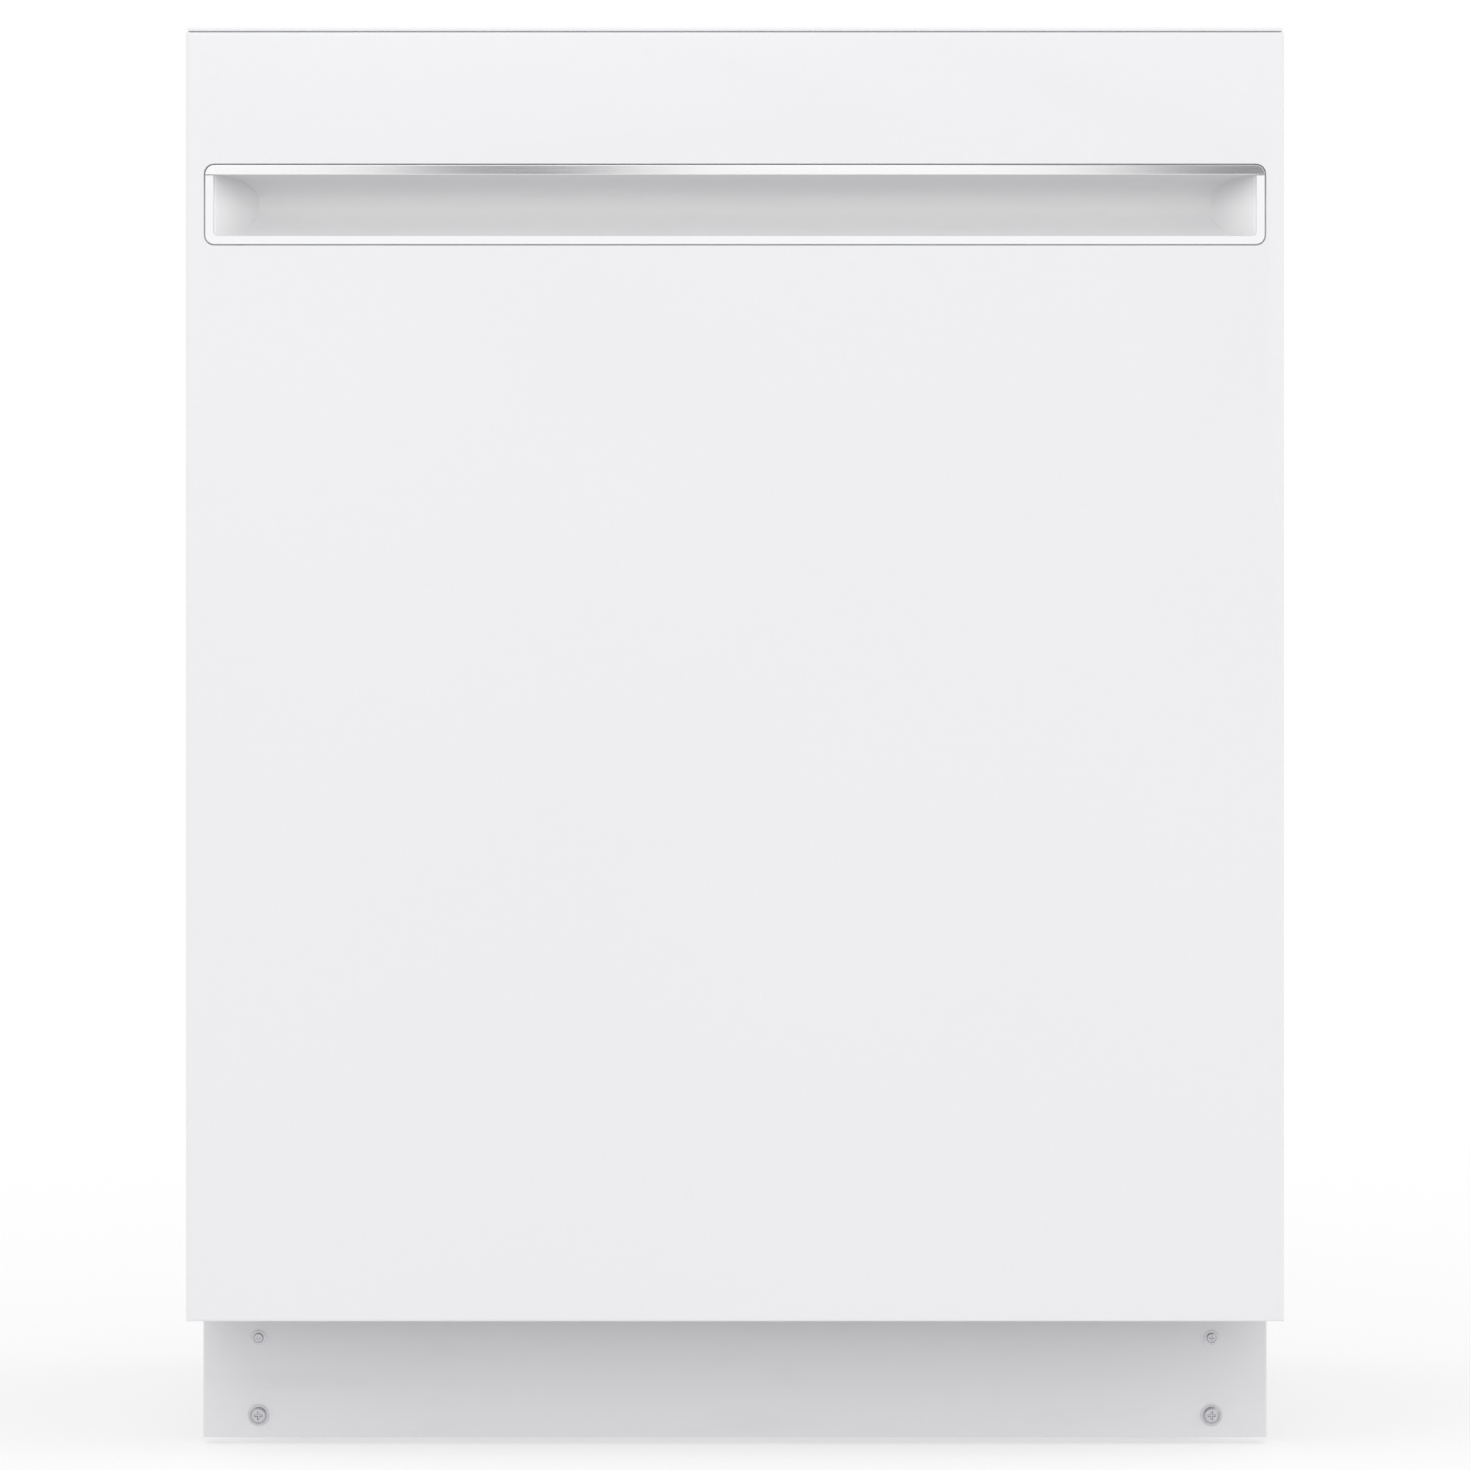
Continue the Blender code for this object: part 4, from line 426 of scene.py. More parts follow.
dress(moulding, 0.0003, "control_fascia")
MARK_RISE = 0.00012
button_white = Finish("button_white", (0.80, 0.80, 0.82), 0.32, coat_weight=0.2)
button_white.emboss(button_white.noise(2200.0, 1.0), 0.00002)
print_grey = Finish("printed_grey", (0.22, 0.23, 0.25), 0.55)
print_grey.dull(print_grey.noise(900.0), 0.1, 0.50)
marks = {"power": "ring", "cycle": "bars", "wash_options": "drops", "dry_options": "waves",
         "start": "arrow"}
for button, mark in marks.items():
    name = f"button_{button}"
    dress(button_white, 0.00035, name, segments=3)
    x, y, _ = middle(name)
    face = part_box(name)[1].z
    sunk = face - 0.00002
    ink = Shape()
    if mark == "ring":
        sweep = [math.radians(120 + 300 * step / 24) for step in range(25)]
        ink.tube([(x + 0.0030 * math.cos(a), y + 0.0030 * math.sin(a), face) for a in sweep],
                 0.00028, 8)
        ink.tube([(x, y + 0.0012, face), (x, y + 0.0040, face)], 0.00028, 8)
    elif mark == "bars":
        for row in (y - 0.0020, y, y + 0.0020):
            ink.tube([(x - 0.0040, row, face), (x + 0.0040, row, face)], 0.00026, 8)
    elif mark == "drops":
        for step in (-1, 0, 1):
            ink.turned([(0.0012, 0), (0.0012, MARK_RISE), (0.0, MARK_RISE)],
                       (x + step * 0.0038, y, sunk), sides=16)
    elif mark == "waves":
        for row in (y - 0.0016, y + 0.0016):
            ink.tube([(x - 0.0042 + 0.0084 * step / 20, row + 0.0007 * math.sin(step * math.pi / 5), face)
                      for step in range(21)], 0.00026, 8)
    else:
        corners = [(x - 0.0026, y - 0.0030), (x + 0.0034, y), (x - 0.0026, y + 0.0030)]
        ink.skin([[(*c, z) for c in corners] for z in (sunk, face + MARK_RISE)], True, True)
    ink.fit(f"{name}_mark", print_grey, name, "dark_plastic")

fascia_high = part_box("control_fascia")[1]
dot_glow = Finish("indicator_dot", (0.30, 0.34, 0.36), 0.25, coat_weight=0.6)
dot_glow.dull(dot_glow.noise(700.0), 0.1, 0.2)
dots = Shape()
for x in (-0.182, -0.176, -0.030, -0.022, -0.014, -0.006, 0.150, 0.158, 0.166, 0.174):
    dots.turned([(0.0011, -0.0001), (0.0011, 0.00010), (0.0008, 0.00022), (0.0, 0.00025)],
                (x, middle("button_start").y, fascia_high.z), sides=20)
dots.fit("fascia_indicator_dots", dot_glow, "door", "smoked_lens")

# Moulded caps close the ends of the fascia, between the panel's edge and the rear skirt.
caps = Shape()
panel_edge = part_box("door_outer_panel")[1].y
liner_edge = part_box("door_inner_liner")[1].z
for side in (-1, 1):
    left, right = sorted((side * (fascia_high.x - 0.0070), side * (fascia_high.x - 0.0012)))
    caps.box((left, panel_edge + 0.0003, liner_edge + 0.0003),
             (right, fascia_high.y - 0.0002, fascia_high.z - 0.0030))
caps.fit("fascia_end_caps", moulding, "door", "white_plastic", edge=0.0004)

smoke = Finish("smoked_window", (0.020, 0.022, 0.026), 0.08, coat_weight=0.8)
smoke.dull(smoke.noise(120.0), 0.06, 0.06)
dress(smoke, 0.0002, "status_lens")
lens_low, lens_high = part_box("status_lens")
lens_y = middle("status_lens").y
lit = Finish("display_segment", (0.55, 0.75, 0.80), 0.3)
lit.set("Emission Color", lit.blend(lit.noise(800.0), (0.50, 0.80, 0.90), (0.60, 0.88, 0.95)))
lit.set("Emission Strength", 0.5)
segments = Shape()
for digit in range(3):
    x = lens_low.x + 0.030 + digit * 0.013
    for dx, dy, wide, deep in ((0, 0.0026, 0.0042, 0.0005), (0, 0, 0.0042, 0.0005),
                               (0, -0.0026, 0.0042, 0.0005), (0.0024, 0.0013, 0.0005, 0.0020),
                               (0.0024, -0.0013, 0.0005, 0.0020)):
        here = Vector((x + dx, lens_y + dy, lens_high.z))
        size = Vector((wide / 2, deep / 2, 0.00006))
        segments.box(here - size, here + size)
segments.fit("display_segments", lit, "door", "smoked_lens")

board_green = Finish("solder_mask", (0.03, 0.17, 0.08), 0.35, coat_weight=0.3)
tracks = board_green.noise(70.0, 0.0, (1, 0.25, 1))
track = (tracks * 22.0).maths("SINE").between(0.55, 0.75)
board_green.mottle(track, (0.025, 0.15, 0.07), (0.06, 0.30, 0.13))
board_green.emboss(track, 0.00008)
dress(board_green, 0.0001, "control_board")
chip_black = Finish("component_black", (0.025, 0.025, 0.028), 0.45)
chip_black.emboss(chip_black.noise(1800.0), 0.00002)
board_low, board_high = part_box("control_board")
chips = Shape()
luck = random.Random(7)
for step in range(16):
    x = -0.220 + 0.0285 * step
    wide, deep = luck.choice(((0.008, 0.008), (0.012, 0.007), (0.005, 0.009)))
    y = luck.uniform(board_low.y + 0.006, board_high.y - 0.006)
    chips.box((x - wide / 2, y - deep / 2, board_low.z - luck.uniform(0.003, 0.008)),
              (x + wide / 2, y + deep / 2, board_low.z + 0.0001))
chips.fit("board_components", chip_black, "door", "dark_plastic", edge=0.0003)

# ---------------------------------------------------------------- tub and its front flange
# Drawn stainless sheet, brushed upright on the walls, with ribs pressed in against drumming, a
# vent in the right wall and a welded front flange that carries the seal.


def bent(path, radius, looped=False, steps=6):
    """The path with each of its corners turned to a round bend."""
    path = [Vector(point) for point in path]
    made = []
    for i, corner in enumerate(path):
        if not looped and i in (0, len(path) - 1):
            made.append(corner)
            continue
        back, on = path[i - 1] - corner, path[(i + 1) % len(path)] - corner
        reach = min(radius, back.length * 0.48, on.length * 0.48)
        start, end = corner + back.normalized() * reach, corner + on.normalized() * reach
        for step in range(steps + 1):
            t = step / steps
            made.append(start * (1 - t) ** 2 + corner * (2 * t * (1 - t)) + end * t * t)
    return made


steel = Finish("brushed_stainless", (0.60, 0.60, 0.61), 0.28, 1.0)
brush = steel.noise(700.0, 2.0, (1, 1, 0.015))
water_marks = steel.noise(9.0, 4.0).between(0.50, 0.75)
steel.mottle(brush, (0.56, 0.565, 0.575), (0.66, 0.66, 0.665))
steel.set("Roughness", brush * 0.12 + water_marks * 0.06 + 0.22)
steel.emboss(brush, 0.000006)
dress(steel, 0.0004, "tub", "door_inner_liner")

tub_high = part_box("tub")[1]
WALL = 0.0010
FLANGE = 0.003
wall_x = tub_high.x - FLANGE - WALL
roof_z = tub_high.z - 0.006 - WALL
rear_y = tub_high.y - WALL
ribs = Shape()
for z in (0.215, 0.300, 0.385, 0.610):
    for side in (-1, 1):
        ribs.bead((side * wall_x, -0.105, z), (side * wall_x, 0.255, z), (-side, 0, 0), 0.006, 0.0012)
for x in (-0.215, -0.150, 0.150, 0.215):
    ribs.bead((x, rear_y, 0.185), (x, rear_y, 0.700), (0, -1, 0), 0.008, 0.0015)
for x in (-0.190, -0.110, 0.110, 0.190):
    ribs.bead((x, -0.170, roof_z), (x, 0.230, roof_z), (0, 0, -1), 0.009, 0.0015)
ribs.fit("tub_pressed_ribs", steel, "cabinet", "stainless")

grey = Finish("grey_moulding", (0.44, 0.46, 0.48), 0.48)
flow = grey.noise(24.0, 3.0)
grey.mottle(flow, (0.42, 0.44, 0.46), (0.47, 0.49, 0.51))
grey.dull(flow, 0.1, 0.42)
grey.emboss(grey.noise(1700.0, 1.0), 0.00003)
vent = Shape()
VENT_AT = (wall_x, 0.120, 0.655)
vent.turned([(0.030, 0), (0.030, 0.002), (0.028, 0.004), (0.024, 0.0045), (0.0, 0.0050)],
            VENT_AT, (-1, 0, 0), 56)
for step in range(-3, 4):
    half = math.sqrt(0.021 ** 2 - (step * 0.0055) ** 2)
    z = VENT_AT[2] + step * 0.0055
    vent.bead((wall_x - 0.0040, VENT_AT[1] - half, z), (wall_x - 0.0040, VENT_AT[1] + half, z),
              (-1, 0, 0), 0.0014, 0.0022)
vent.fit("tub_vent_cover", grey, "cabinet", "grey_plastic")

# ---------------------------------------------------------------- door seal
# An extruded rubber bulb with two lips, pressed into the flange up both sides and over the top.
rubber = Finish("seal_rubber", (0.075, 0.078, 0.085), 0.62, specular_ior_level=0.35)
chalk = rubber.noise(55.0, 4.0).between(0.45, 0.75)
rubber.mottle(chalk, (0.060, 0.062, 0.068), (0.105, 0.108, 0.115))
rubber.dull(chalk, 0.15, 0.55)
rubber.emboss(rubber.noise(1400.0, 2.0), 0.00003)
seal_low, seal_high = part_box("door_gasket")
SEAL_WIDE = 0.0074
section = [(-0.0037, 0.0000), (-0.0037, 0.0014), (-0.0026, 0.0020), (-0.0034, 0.0040),
           (-0.0028, 0.0054), (-0.0014, 0.0061), (0.0002, 0.0060), (0.0012, 0.0046),
           (0.0010, 0.0030), (0.0018, 0.0024), (0.0034, 0.0036), (0.0036, 0.0016), (0.0036, 0.0)]
seal_x, seal_z = seal_high.x - SEAL_WIDE / 2, seal_high.z - SEAL_WIDE / 2
route = bent([(-seal_x, 0, seal_low.z), (-seal_x, 0, seal_z), (seal_x, 0, seal_z),
              (seal_x, 0, seal_low.z)], 0.016, steps=10)
rows = []
for i, here in enumerate(route):
    way = (route[min(i + 1, len(route) - 1)] - route[max(i - 1, 0)]).normalized()
    out = Vector((-way.z, 0, way.x))
    rows.append([here + out * w + Vector((0, seal_high.y - d, 0)) for w, d in section])
Shape().skin(rows, True, True).fit("door_seal_extrusion", rubber, "cabinet", "seal_rubber",
                                   ("door_gasket",), smooth=50)
dress(rubber, 0.0006, "door_bottom_seal", segments=3)

# ---------------------------------------------------------------- inner door and dispenser
# The stainless liner is screwed to the outer panel round its edge and pressed with upright ribs.
# The moulded dispenser holds a sliding lid over the detergent cup and a turning rinse-aid cap.
liner_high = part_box("door_inner_liner")[1]
LINER_TRAY = 0.0060
tray_y = liner_high.y - LINER_TRAY
pressings = Shape()
for z in (0.200, 0.250, 0.300, 0.350, 0.600, 0.650):
    pressings.bead((-0.205, tray_y, z), (0.205, tray_y, z), (0, 1, 0), 0.0065, 0.0016)
for z in (0.430, 0.520):
    pressings.bead((-0.205, tray_y, z), (-0.060, tray_y, z), (0, 1, 0), 0.0065, 0.0016)
pressings.fit("door_liner_ribs", steel, "door", "stainless")

screw_steel = Finish("screw_steel", (0.55, 0.55, 0.57), 0.30, 1.0)
screw_wear = screw_steel.noise(500.0, 3.0)
screw_steel.dull(screw_wear, 0.2, 0.22)
screw_steel.mottle(screw_wear, (0.48, 0.48, 0.50), (0.66, 0.66, 0.68))


def pan_head(shape, seat, out, radius):
    """A low round head with a washer face and a shallow round socket."""
    profile = [(radius * 1.25, 0), (radius * 1.25, radius * 0.12), (radius, radius * 0.16),
               (radius * 0.94, radius * 0.45), (radius * 0.62, radius * 0.62),
               (radius * 0.44, radius * 0.63), (radius * 0.40, radius * 0.25), (0.0, radius * 0.22)]
    shape.turned(profile, seat, out, 24)


door_screws = Shape()
for x in (-0.271, 0.271):
    for z in (0.130, 0.290, 0.450, 0.600, 0.735):
        pan_head(door_screws, (x, liner_high.y - 0.0001, z), (0, 1, 0), 0.0028)
for x in (-0.180, -0.080, 0.080, 0.180):
    pan_head(door_screws, (x, liner_high.y - 0.0001, 0.752), (0, 1, 0), 0.0024)
door_screws.fit("door_liner_screws", screw_steel, "door", "zinc_steel")

housing_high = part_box("dispenser_housing")[1]
lid_low, lid_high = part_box("dispenser_lid")
cap_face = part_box("rinse_aid_cap")[1].y
dress(grey, 0.0007, "dispenser_housing", segments=3)
dress(grey, 0.0005, "rinse_aid_cap")
pale = Finish("pale_moulding", (0.62, 0.64, 0.66), 0.42)
pale.emboss(pale.noise(1900.0, 1.0), 0.00003)
pale.dull(pale.noise(40.0, 2.0), 0.1, 0.36)
dress(pale, 0.0006, "dispenser_lid", segments=3)
face_y = housing_high.y
lid_x = middle("dispenser_lid").x
cap_x, _, cap_z = middle("rinse_aid_cap")
rails = Shape()
for x in (lid_low.x - 0.0022, lid_high.x + 0.0022):
    rails.box((x - 0.0014, face_y - 0.0004, lid_low.z - 0.004),
              (x + 0.0014, face_y + 0.0036, housing_high.z - 0.010))
sill_y, sill_z = face_y - 0.0002, lid_low.z - 0.0085
rails.bead((lid_low.x, sill_y, sill_z), (lid_high.x, sill_y, sill_z), (0, 1, 0), 0.0022, 0.0016)
rails.tube(circle((cap_x, face_y, cap_z), 0.0215, 36, "XZ"), 0.0013, 10, True)
for step in range(7):
    x = cap_x - 0.018 + step * 0.006
    rails.bead((x, sill_y, 0.500), (x, sill_y, 0.530), (0, 1, 0), 0.0012, 0.0011)
rails.fit("dispenser_rails", grey, "door", "grey_plastic", edge=0.0002)
grips = Shape()
for step in range(6):
    z = lid_high.z - 0.010 - step * 0.0050
    grips.bead((lid_x - 0.020, lid_high.y - 0.0026, z), (lid_x + 0.020, lid_high.y - 0.0026, z),
               (0, 1, 0), 0.0012, 0.0010)
grips.fit("dispenser_lid_ribs", pale, "dispenser_lid", "grey_plastic")
sight = Finish("rinse_window", (0.10, 0.16, 0.22), 0.08, coat_weight=0.6)
sight.dull(sight.noise(300.0), 0.06, 0.05)
Shape().turned([(0.0055, 0), (0.0055, 0.0006), (0.0046, 0.0012), (0.0, 0.0017)],
               (cap_x, face_y - 0.0001, cap_z + 0.033), (0, 1, 0), 32).fit(
    "rinse_sight_glass", sight, "door", "smoked_lens")
fluting = Shape()
for here in circle((cap_x, cap_face - 0.0049, cap_z), 0.0178, 28, "XZ"):
    fluting.rod(here, here + Vector((0, 0.0011, 0)), 0.0009, 10)
fluting.fit("rinse_cap_fluting", grey, "rinse_aid_cap", "grey_plastic")

# ---------------------------------------------------------------- latch and strike
# A black moulded latch behind the liner and a plated strike screwed to the tub's front edge.
black = Finish("black_moulding", (0.030, 0.031, 0.034), 0.46)
black_flow = black.noise(30.0, 3.0)
black.mottle(black_flow, (0.024, 0.025, 0.028), (0.042, 0.043, 0.047))
black.dull(black_flow, 0.14, 0.38)
black.emboss(black.noise(1500.0, 1.0), 0.00003)
zinc = Finish("zinc_plate", (0.58, 0.59, 0.61), 0.42, 1.0)
spangle = zinc.cells(95.0, out="Color")
flake = zinc.node("ShaderNodeSeparateColor", None, {0: spangle})
smear = zinc.noise(18.0, 4.0)
zinc.mottle(flake * 0.6 + smear * 0.4, (0.50, 0.51, 0.53), (0.68, 0.69, 0.71))
zinc.set("Roughness", flake * 0.14 + smear * 0.14 + 0.28)
zinc.emboss(zinc.noise(260.0, 2.0), 0.00002)
dress(black, 0.0006, "door_latch")
dress(zinc, 0.0003, "door_strike", "mounting_bracket_left", "mounting_bracket_right")
strike_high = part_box("door_strike")[1]
strike_screws = Shape()
for x in (-0.022, 0.022):
    pan_head(strike_screws, (x, strike_high.y - 0.0021, strike_high.z - 0.006), (0, -1, 0), 0.0022)
strike_screws.fit("strike_screws", screw_steel, "cabinet", "zinc_steel")
bracket_screws = Shape()
for node in ("mounting_bracket_left", "mounting_bracket_right"):
    low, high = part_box(node)
    for aside in (-0.007, 0.007):
        pan_head(bracket_screws, ((low.x + high.x) / 2 + aside, high.y - 0.012, low.z + 0.0014),
                 (0, 0, 1), 0.0019)
bracket_screws.fit("bracket_screws", screw_steel, "cabinet", "zinc_steel")

# ---------------------------------------------------------------- spray arms and supply tube
# Hollow moulded arms, welded from two shells, each with a row of jets and a hub that snaps on.
# The lower arm stands on the sump's hub, the others hang from the tube and the upper rack.
SPIN_Y = 0.020
ARM_TALL, TIP = 0.011, 0.013  # an arm's height, and the radius of its tips
# The jet slots are near-black strips laid on the nozzle tops: painted shade standing in for the openings.
painted_slot_shade = Finish("jet_slot", (0.020, 0.020, 0.022), 0.6)
painted_slot_shade.dull(painted_slot_shade.noise(600.0), 0.2, 0.5)


def rounded(angle, square):
    """Cosine and sine of the angle, pushed out toward a square by powers below one."""
    across, up = math.cos(angle), math.sin(angle)
    return (math.copysign(abs(across) ** square[0], across), math.copysign(abs(up) ** square[1], up))


def spray_arm(node, reach, degrees, low, hub, stub):
    """A two-ended arm: crowned on top, wide at the hub, narrow at the round tips."""
    high = low + ARM_TALL
    arm, slots = Shape(), Shape()
    turn = Matrix.Rotation(math.radians(degrees), 4, "Z")
    turn.translation = (0, SPIN_Y, 0)
    rows = []
    stations = 64
    for step in range(stations + 1):
        along = -math.cos(math.pi * step / stations)
        far = abs(along) * reach
        half = TIP + 0.012 * (1 - min(far / (reach - TIP), 1.0)) ** 1.3
        end = max(far - (reach - TIP), 0) / TIP
        half *= math.sqrt(max(1 - end * end, 0.0004))
        tall = ARM_TALL * (0.46 + 0.04 * math.cos(math.pi * along)) * math.sqrt(max(1 - end ** 4, 0.02))
        bow = 0.0025 * math.sin(math.pi * far / reach) * (1 if along > 0 else -1)
        section = []
        for corner in range(24):
            across, up = rounded(2 * math.pi * corner / 24, (0.62, 0.8))
            section.append(turn @ Vector((along * reach, half * across + bow,
                                          (low + high) / 2 + tall * up)))
        rows.append(section)
    arm.skin(rows, True, True)
    # The weld line between the two shells, along both edges.
    for corner in (0, 12):
        arm.tube([section[corner] for section in rows[3:-3]], 0.0005, 6)
    arm.turned([(stub, ARM_TALL + 0.004), (hub - 0.003, ARM_TALL + 0.006), (hub, ARM_TALL + 0.004),
                (hub + 0.001, ARM_TALL * 0.5), (hub, -0.0015), (stub, -0.002)], (0, SPIN_Y, low))
    for foot in circle((0, SPIN_Y, high + 0.0004), hub - 0.0015, 12):
        arm.rod(foot, foot + Vector((0, 0, 0.0050)), 0.0012, 8)
    jets = int(reach / 0.034)
    for way in (-1, 1):
        for jet in range(jets):
            x = way * (0.040 + (reach - 0.054) * jet / (jets - 1))
            aside = 1 if jet % 2 else -1
            seat = turn @ Vector((x, 0.0035 * aside * way, high - 0.0010))
            lean = (turn.to_3x3() @ Vector((0, 0.25 * aside, 1))).normalized()
            arm.turned([(0.0046, -0.0005), (0.0042, 0.0010), (0.0030, 0.0020), (0.0, 0.0022)],
                       seat, lean, 20)
            slot_way = turn.to_3x3() @ Vector((0.0022, 0, 0))
            top = seat + lean * 0.00205
            slots.tube([top - slot_way, top + slot_way], 0.0005, 8)
    arm.fit(f"{node}_shell", grey, node, "grey_plastic", (node,), smooth=48)
    slots.fit(f"{node}_jets", painted_slot_shade, node, "dark_plastic")


lower_low, lower_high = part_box("lower_spray_arm")
spray_arm("lower_spray_arm", 0.230, 28, 0.156, 0.024, 0.0150)
for node, reach, degrees in (("middle_spray_arm", 0.215, -20), ("upper_spray_arm", 0.155, 12)):
    spray_arm(node, reach, degrees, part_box(node)[0].z + 0.002, 0.018, 0.0090)
skirt = Shape()
skirt.turned([(0.0150, lower_low.z), (0.0225, lower_low.z), (0.0240, lower_low.z + 0.004),
              (0.0238, lower_high.z - 0.003), (0.0200, lower_high.z), (0.0, lower_high.z)],
             (0, SPIN_Y, 0), sides=48)
skirt.fit("lower_arm_hub_cap", grey, "lower_spray_arm", "grey_plastic", edge=0.0004)

dress(grey, 0.0004, "supply_tube")
dress(grey, 0.0006, "rack_rollers_left", "rack_rollers_right")
dress(grey, 0.0006, "float_cap", segments=3)
tube_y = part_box("supply_tube")[1].y - 0.011
clips = Shape()
for z in (0.260, 0.360, 0.520, 0.640):
    clips.box((-0.017, tube_y - 0.004, z - 0.007), (0.017, rear_y - 0.0003, z + 0.007))
    clips.tube(circle((0, tube_y, z), 0.0125, 24, start=math.pi)[:13], 0.0022, 8)
clips.fit("supply_tube_clips", grey, "cabinet", "grey_plastic", edge=0.0005)
roller_caps = Shape()
for side in (-1, 1):
    for y in (-0.207, -0.153):
        pan_head(roller_caps, (side * 0.2655, y, 0.5205), (-side, 0, 0), 0.0036)
roller_caps.fit("roller_axle_heads", screw_steel, "cabinet", "zinc_steel")

# ---------------------------------------------------------------- filters, heater, float
# A perforated steel floor filter round a turning moulded cup, and a sheathed heating rod on
# three brackets.
mesh_steel = Finish("perforated_steel", (0.50, 0.50, 0.52), 0.36, 1.0)
HOLE_PITCH = 0.0030
east = (mesh_steel.along(0) * (2 * math.pi / HOLE_PITCH)).maths("COSINE")
north = (mesh_steel.along(1) * (2 * math.pi / HOLE_PITCH)).maths("COSINE")
hole = (east * north).maths("ABSOLUTE").between(0.42, 0.52)
# The holes are drawn as near-black, non-metal spots: painted shade standing in for the dark space seen
# through them.
mesh_steel.mottle(hole, (0.56, 0.56, 0.58), (0.020, 0.020, 0.022))
mesh_steel.set("Metallic", 1.0 - hole)
mesh_steel.dull(hole, 0.4, 0.30)
mesh_steel.emboss(1.0 - hole, 0.0002)
dress(mesh_steel, 0.0003, "coarse_filter")
coarse_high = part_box("coarse_filter")[1]
filter_low, filter_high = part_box("fine_filter")
filter_x, filter_y, _ = middle("fine_filter")
cup_top = filter_high.z - 0.015
rims = Shape()
for radius, x, y in ((0.1075, 0, SPIN_Y), (0.0370, filter_x, filter_y), (0.0180, 0, SPIN_Y)):
    rims.tube(circle((x, y, coarse_high.z), radius, 72), 0.0012, 8, True)
rims.fit("floor_filter_rims", steel, "cabinet", "stainless")
cup = Shape()
cup.turned([(0.031, filter_low.z), (0.0328, filter_low.z + 0.001), (0.0328, filter_low.z + 0.006),
            (0.0300, filter_low.z + 0.007), (0.0300, cup_top - 0.008), (0.0328, cup_top - 0.007),
            (0.0329, cup_top - 0.001), (0.0310, cup_top), (0.0150, cup_top + 0.0012),
            (0.0, cup_top + 0.0012)], (filter_x, filter_y, 0), sides=56)
for foot in circle((filter_x, filter_y, filter_low.z + 0.005), 0.0305, 16):
    cup.tube([foot, foot + Vector((0, 0, cup_top - filter_low.z - 0.012))], 0.0012, 8)
cup.box((filter_x - 0.024, filter_y - 0.0035, cup_top - 0.001),
        (filter_x + 0.024, filter_y + 0.0035, filter_high.z))
for way in (-1, 1):
    cup.turned([(0.0065, 0), (0.0065, 0.0030), (0.0050, 0.0042), (0.0, 0.0044)],
               (filter_x + way * 0.022, filter_y, cup_top - 0.0002), sides=24)
cup.fit("fine_filter_cup", pale, "fine_filter", "grey_plastic", ("fine_filter",), edge=0.0006)

sheath = Finish("heater_sheath", (0.42, 0.40, 0.38), 0.35, 1.0)
heat = sheath.noise(22.0, 4.0).between(0.40, 0.70)
sheath.mottle(heat, (0.46, 0.45, 0.44), (0.34, 0.27, 0.20))
sheath.set("Roughness", heat * 0.15 + sheath.noise(400.0) * 0.1 + 0.25)
HEATER_Z, HEATER_RING = 0.139, 0.150
LEG_OUT, LEG_REAR, LEG_FOOT = 0.032, 0.170, 0.1162  # where the rod's two ends go through the floor
FLOOR_Z = 0.1291
gap = math.asin(LEG_OUT / HEATER_RING)
ring = [(HEATER_RING * math.cos(a), SPIN_Y + HEATER_RING * math.sin(a), HEATER_Z)
        for a in [math.radians(90) - gap - (2 * math.pi - 2 * gap) * s / 72 for s in range(73)]]
loop = [(LEG_OUT, LEG_REAR, LEG_FOOT), (LEG_OUT, LEG_REAR, HEATER_Z)] + ring[1:-1]
loop += [(-LEG_OUT, LEG_REAR, HEATER_Z), (-LEG_OUT, LEG_REAR, LEG_FOOT)]
heater = Shape().tube(bent(loop, 0.008, steps=4), 0.0039, 14)
heater.fit("heater_rod", sheath, "cabinet", "stainless", ("heater_element",))
brackets = Shape()
for degrees in (-145, -35, 200, 340, 270):
    a = math.radians(degrees)
    at = Vector((HEATER_RING * math.cos(a), SPIN_Y + HEATER_RING * math.sin(a), 0))
    brackets.box(at + Vector((-0.006, -0.004, FLOOR_Z)), at + Vector((0.006, 0.004, 0.1300)))
    brackets.tube([at + Vector((0, 0, FLOOR_Z)), at + Vector((0, 0, 0.1365))], 0.0016, 8)
brackets.fit("heater_brackets", steel, "cabinet", "stainless", edge=0.0002)
glands = Shape()
for x in (-LEG_OUT, LEG_OUT):
    glands.turned([(0.0045, 0), (0.0085, 0), (0.0085, 0.0034), (0.0070, 0.0054), (0.0045, 0.0057)],
                  (x, LEG_REAR, FLOOR_Z), sides=6)
glands.fit("heater_glands", zinc, "cabinet", "zinc_steel", edge=0.0003, smooth=30)
float_x, float_y, _ = middle("float_cap")
floats = Shape()
for foot in circle((float_x, float_y, 0.1297), 0.0209, 20):
    floats.rod(foot, foot + Vector((0, 0, 0.0042)), 0.0009, 8)
floats.fit("float_cap_flutes", grey, "float_cap", "grey_plastic")

# ---------------------------------------------------------------- racks
# Steel wire, welded where it crosses and dipped in grey nylon. Each rack is a basket of
# U-shaped wires inside closed rims, with rows of tines. The lower one runs on ten wheels and
# the upper one on a rail each side.
nylon = Finish("rack_nylon", (0.36, 0.38, 0.41), 0.34, coat_weight=0.25)
dip = nylon.noise(160.0, 2.0)
nylon.mottle(nylon.noise(20.0, 3.0), (0.33, 0.35, 0.38), (0.40, 0.42, 0.45))
nylon.dull(dip, 0.12, 0.28)
nylon.emboss(dip, 0.00012)
WIRE, TINE = 0.0022, 0.0017
CROSS = 0.0026
RACK_FRONT, RACK_REAR = -0.222, 0.2475


def evenly(low, high, count):
    return [low + (high - low) * step / (count - 1) for step in range(count)]


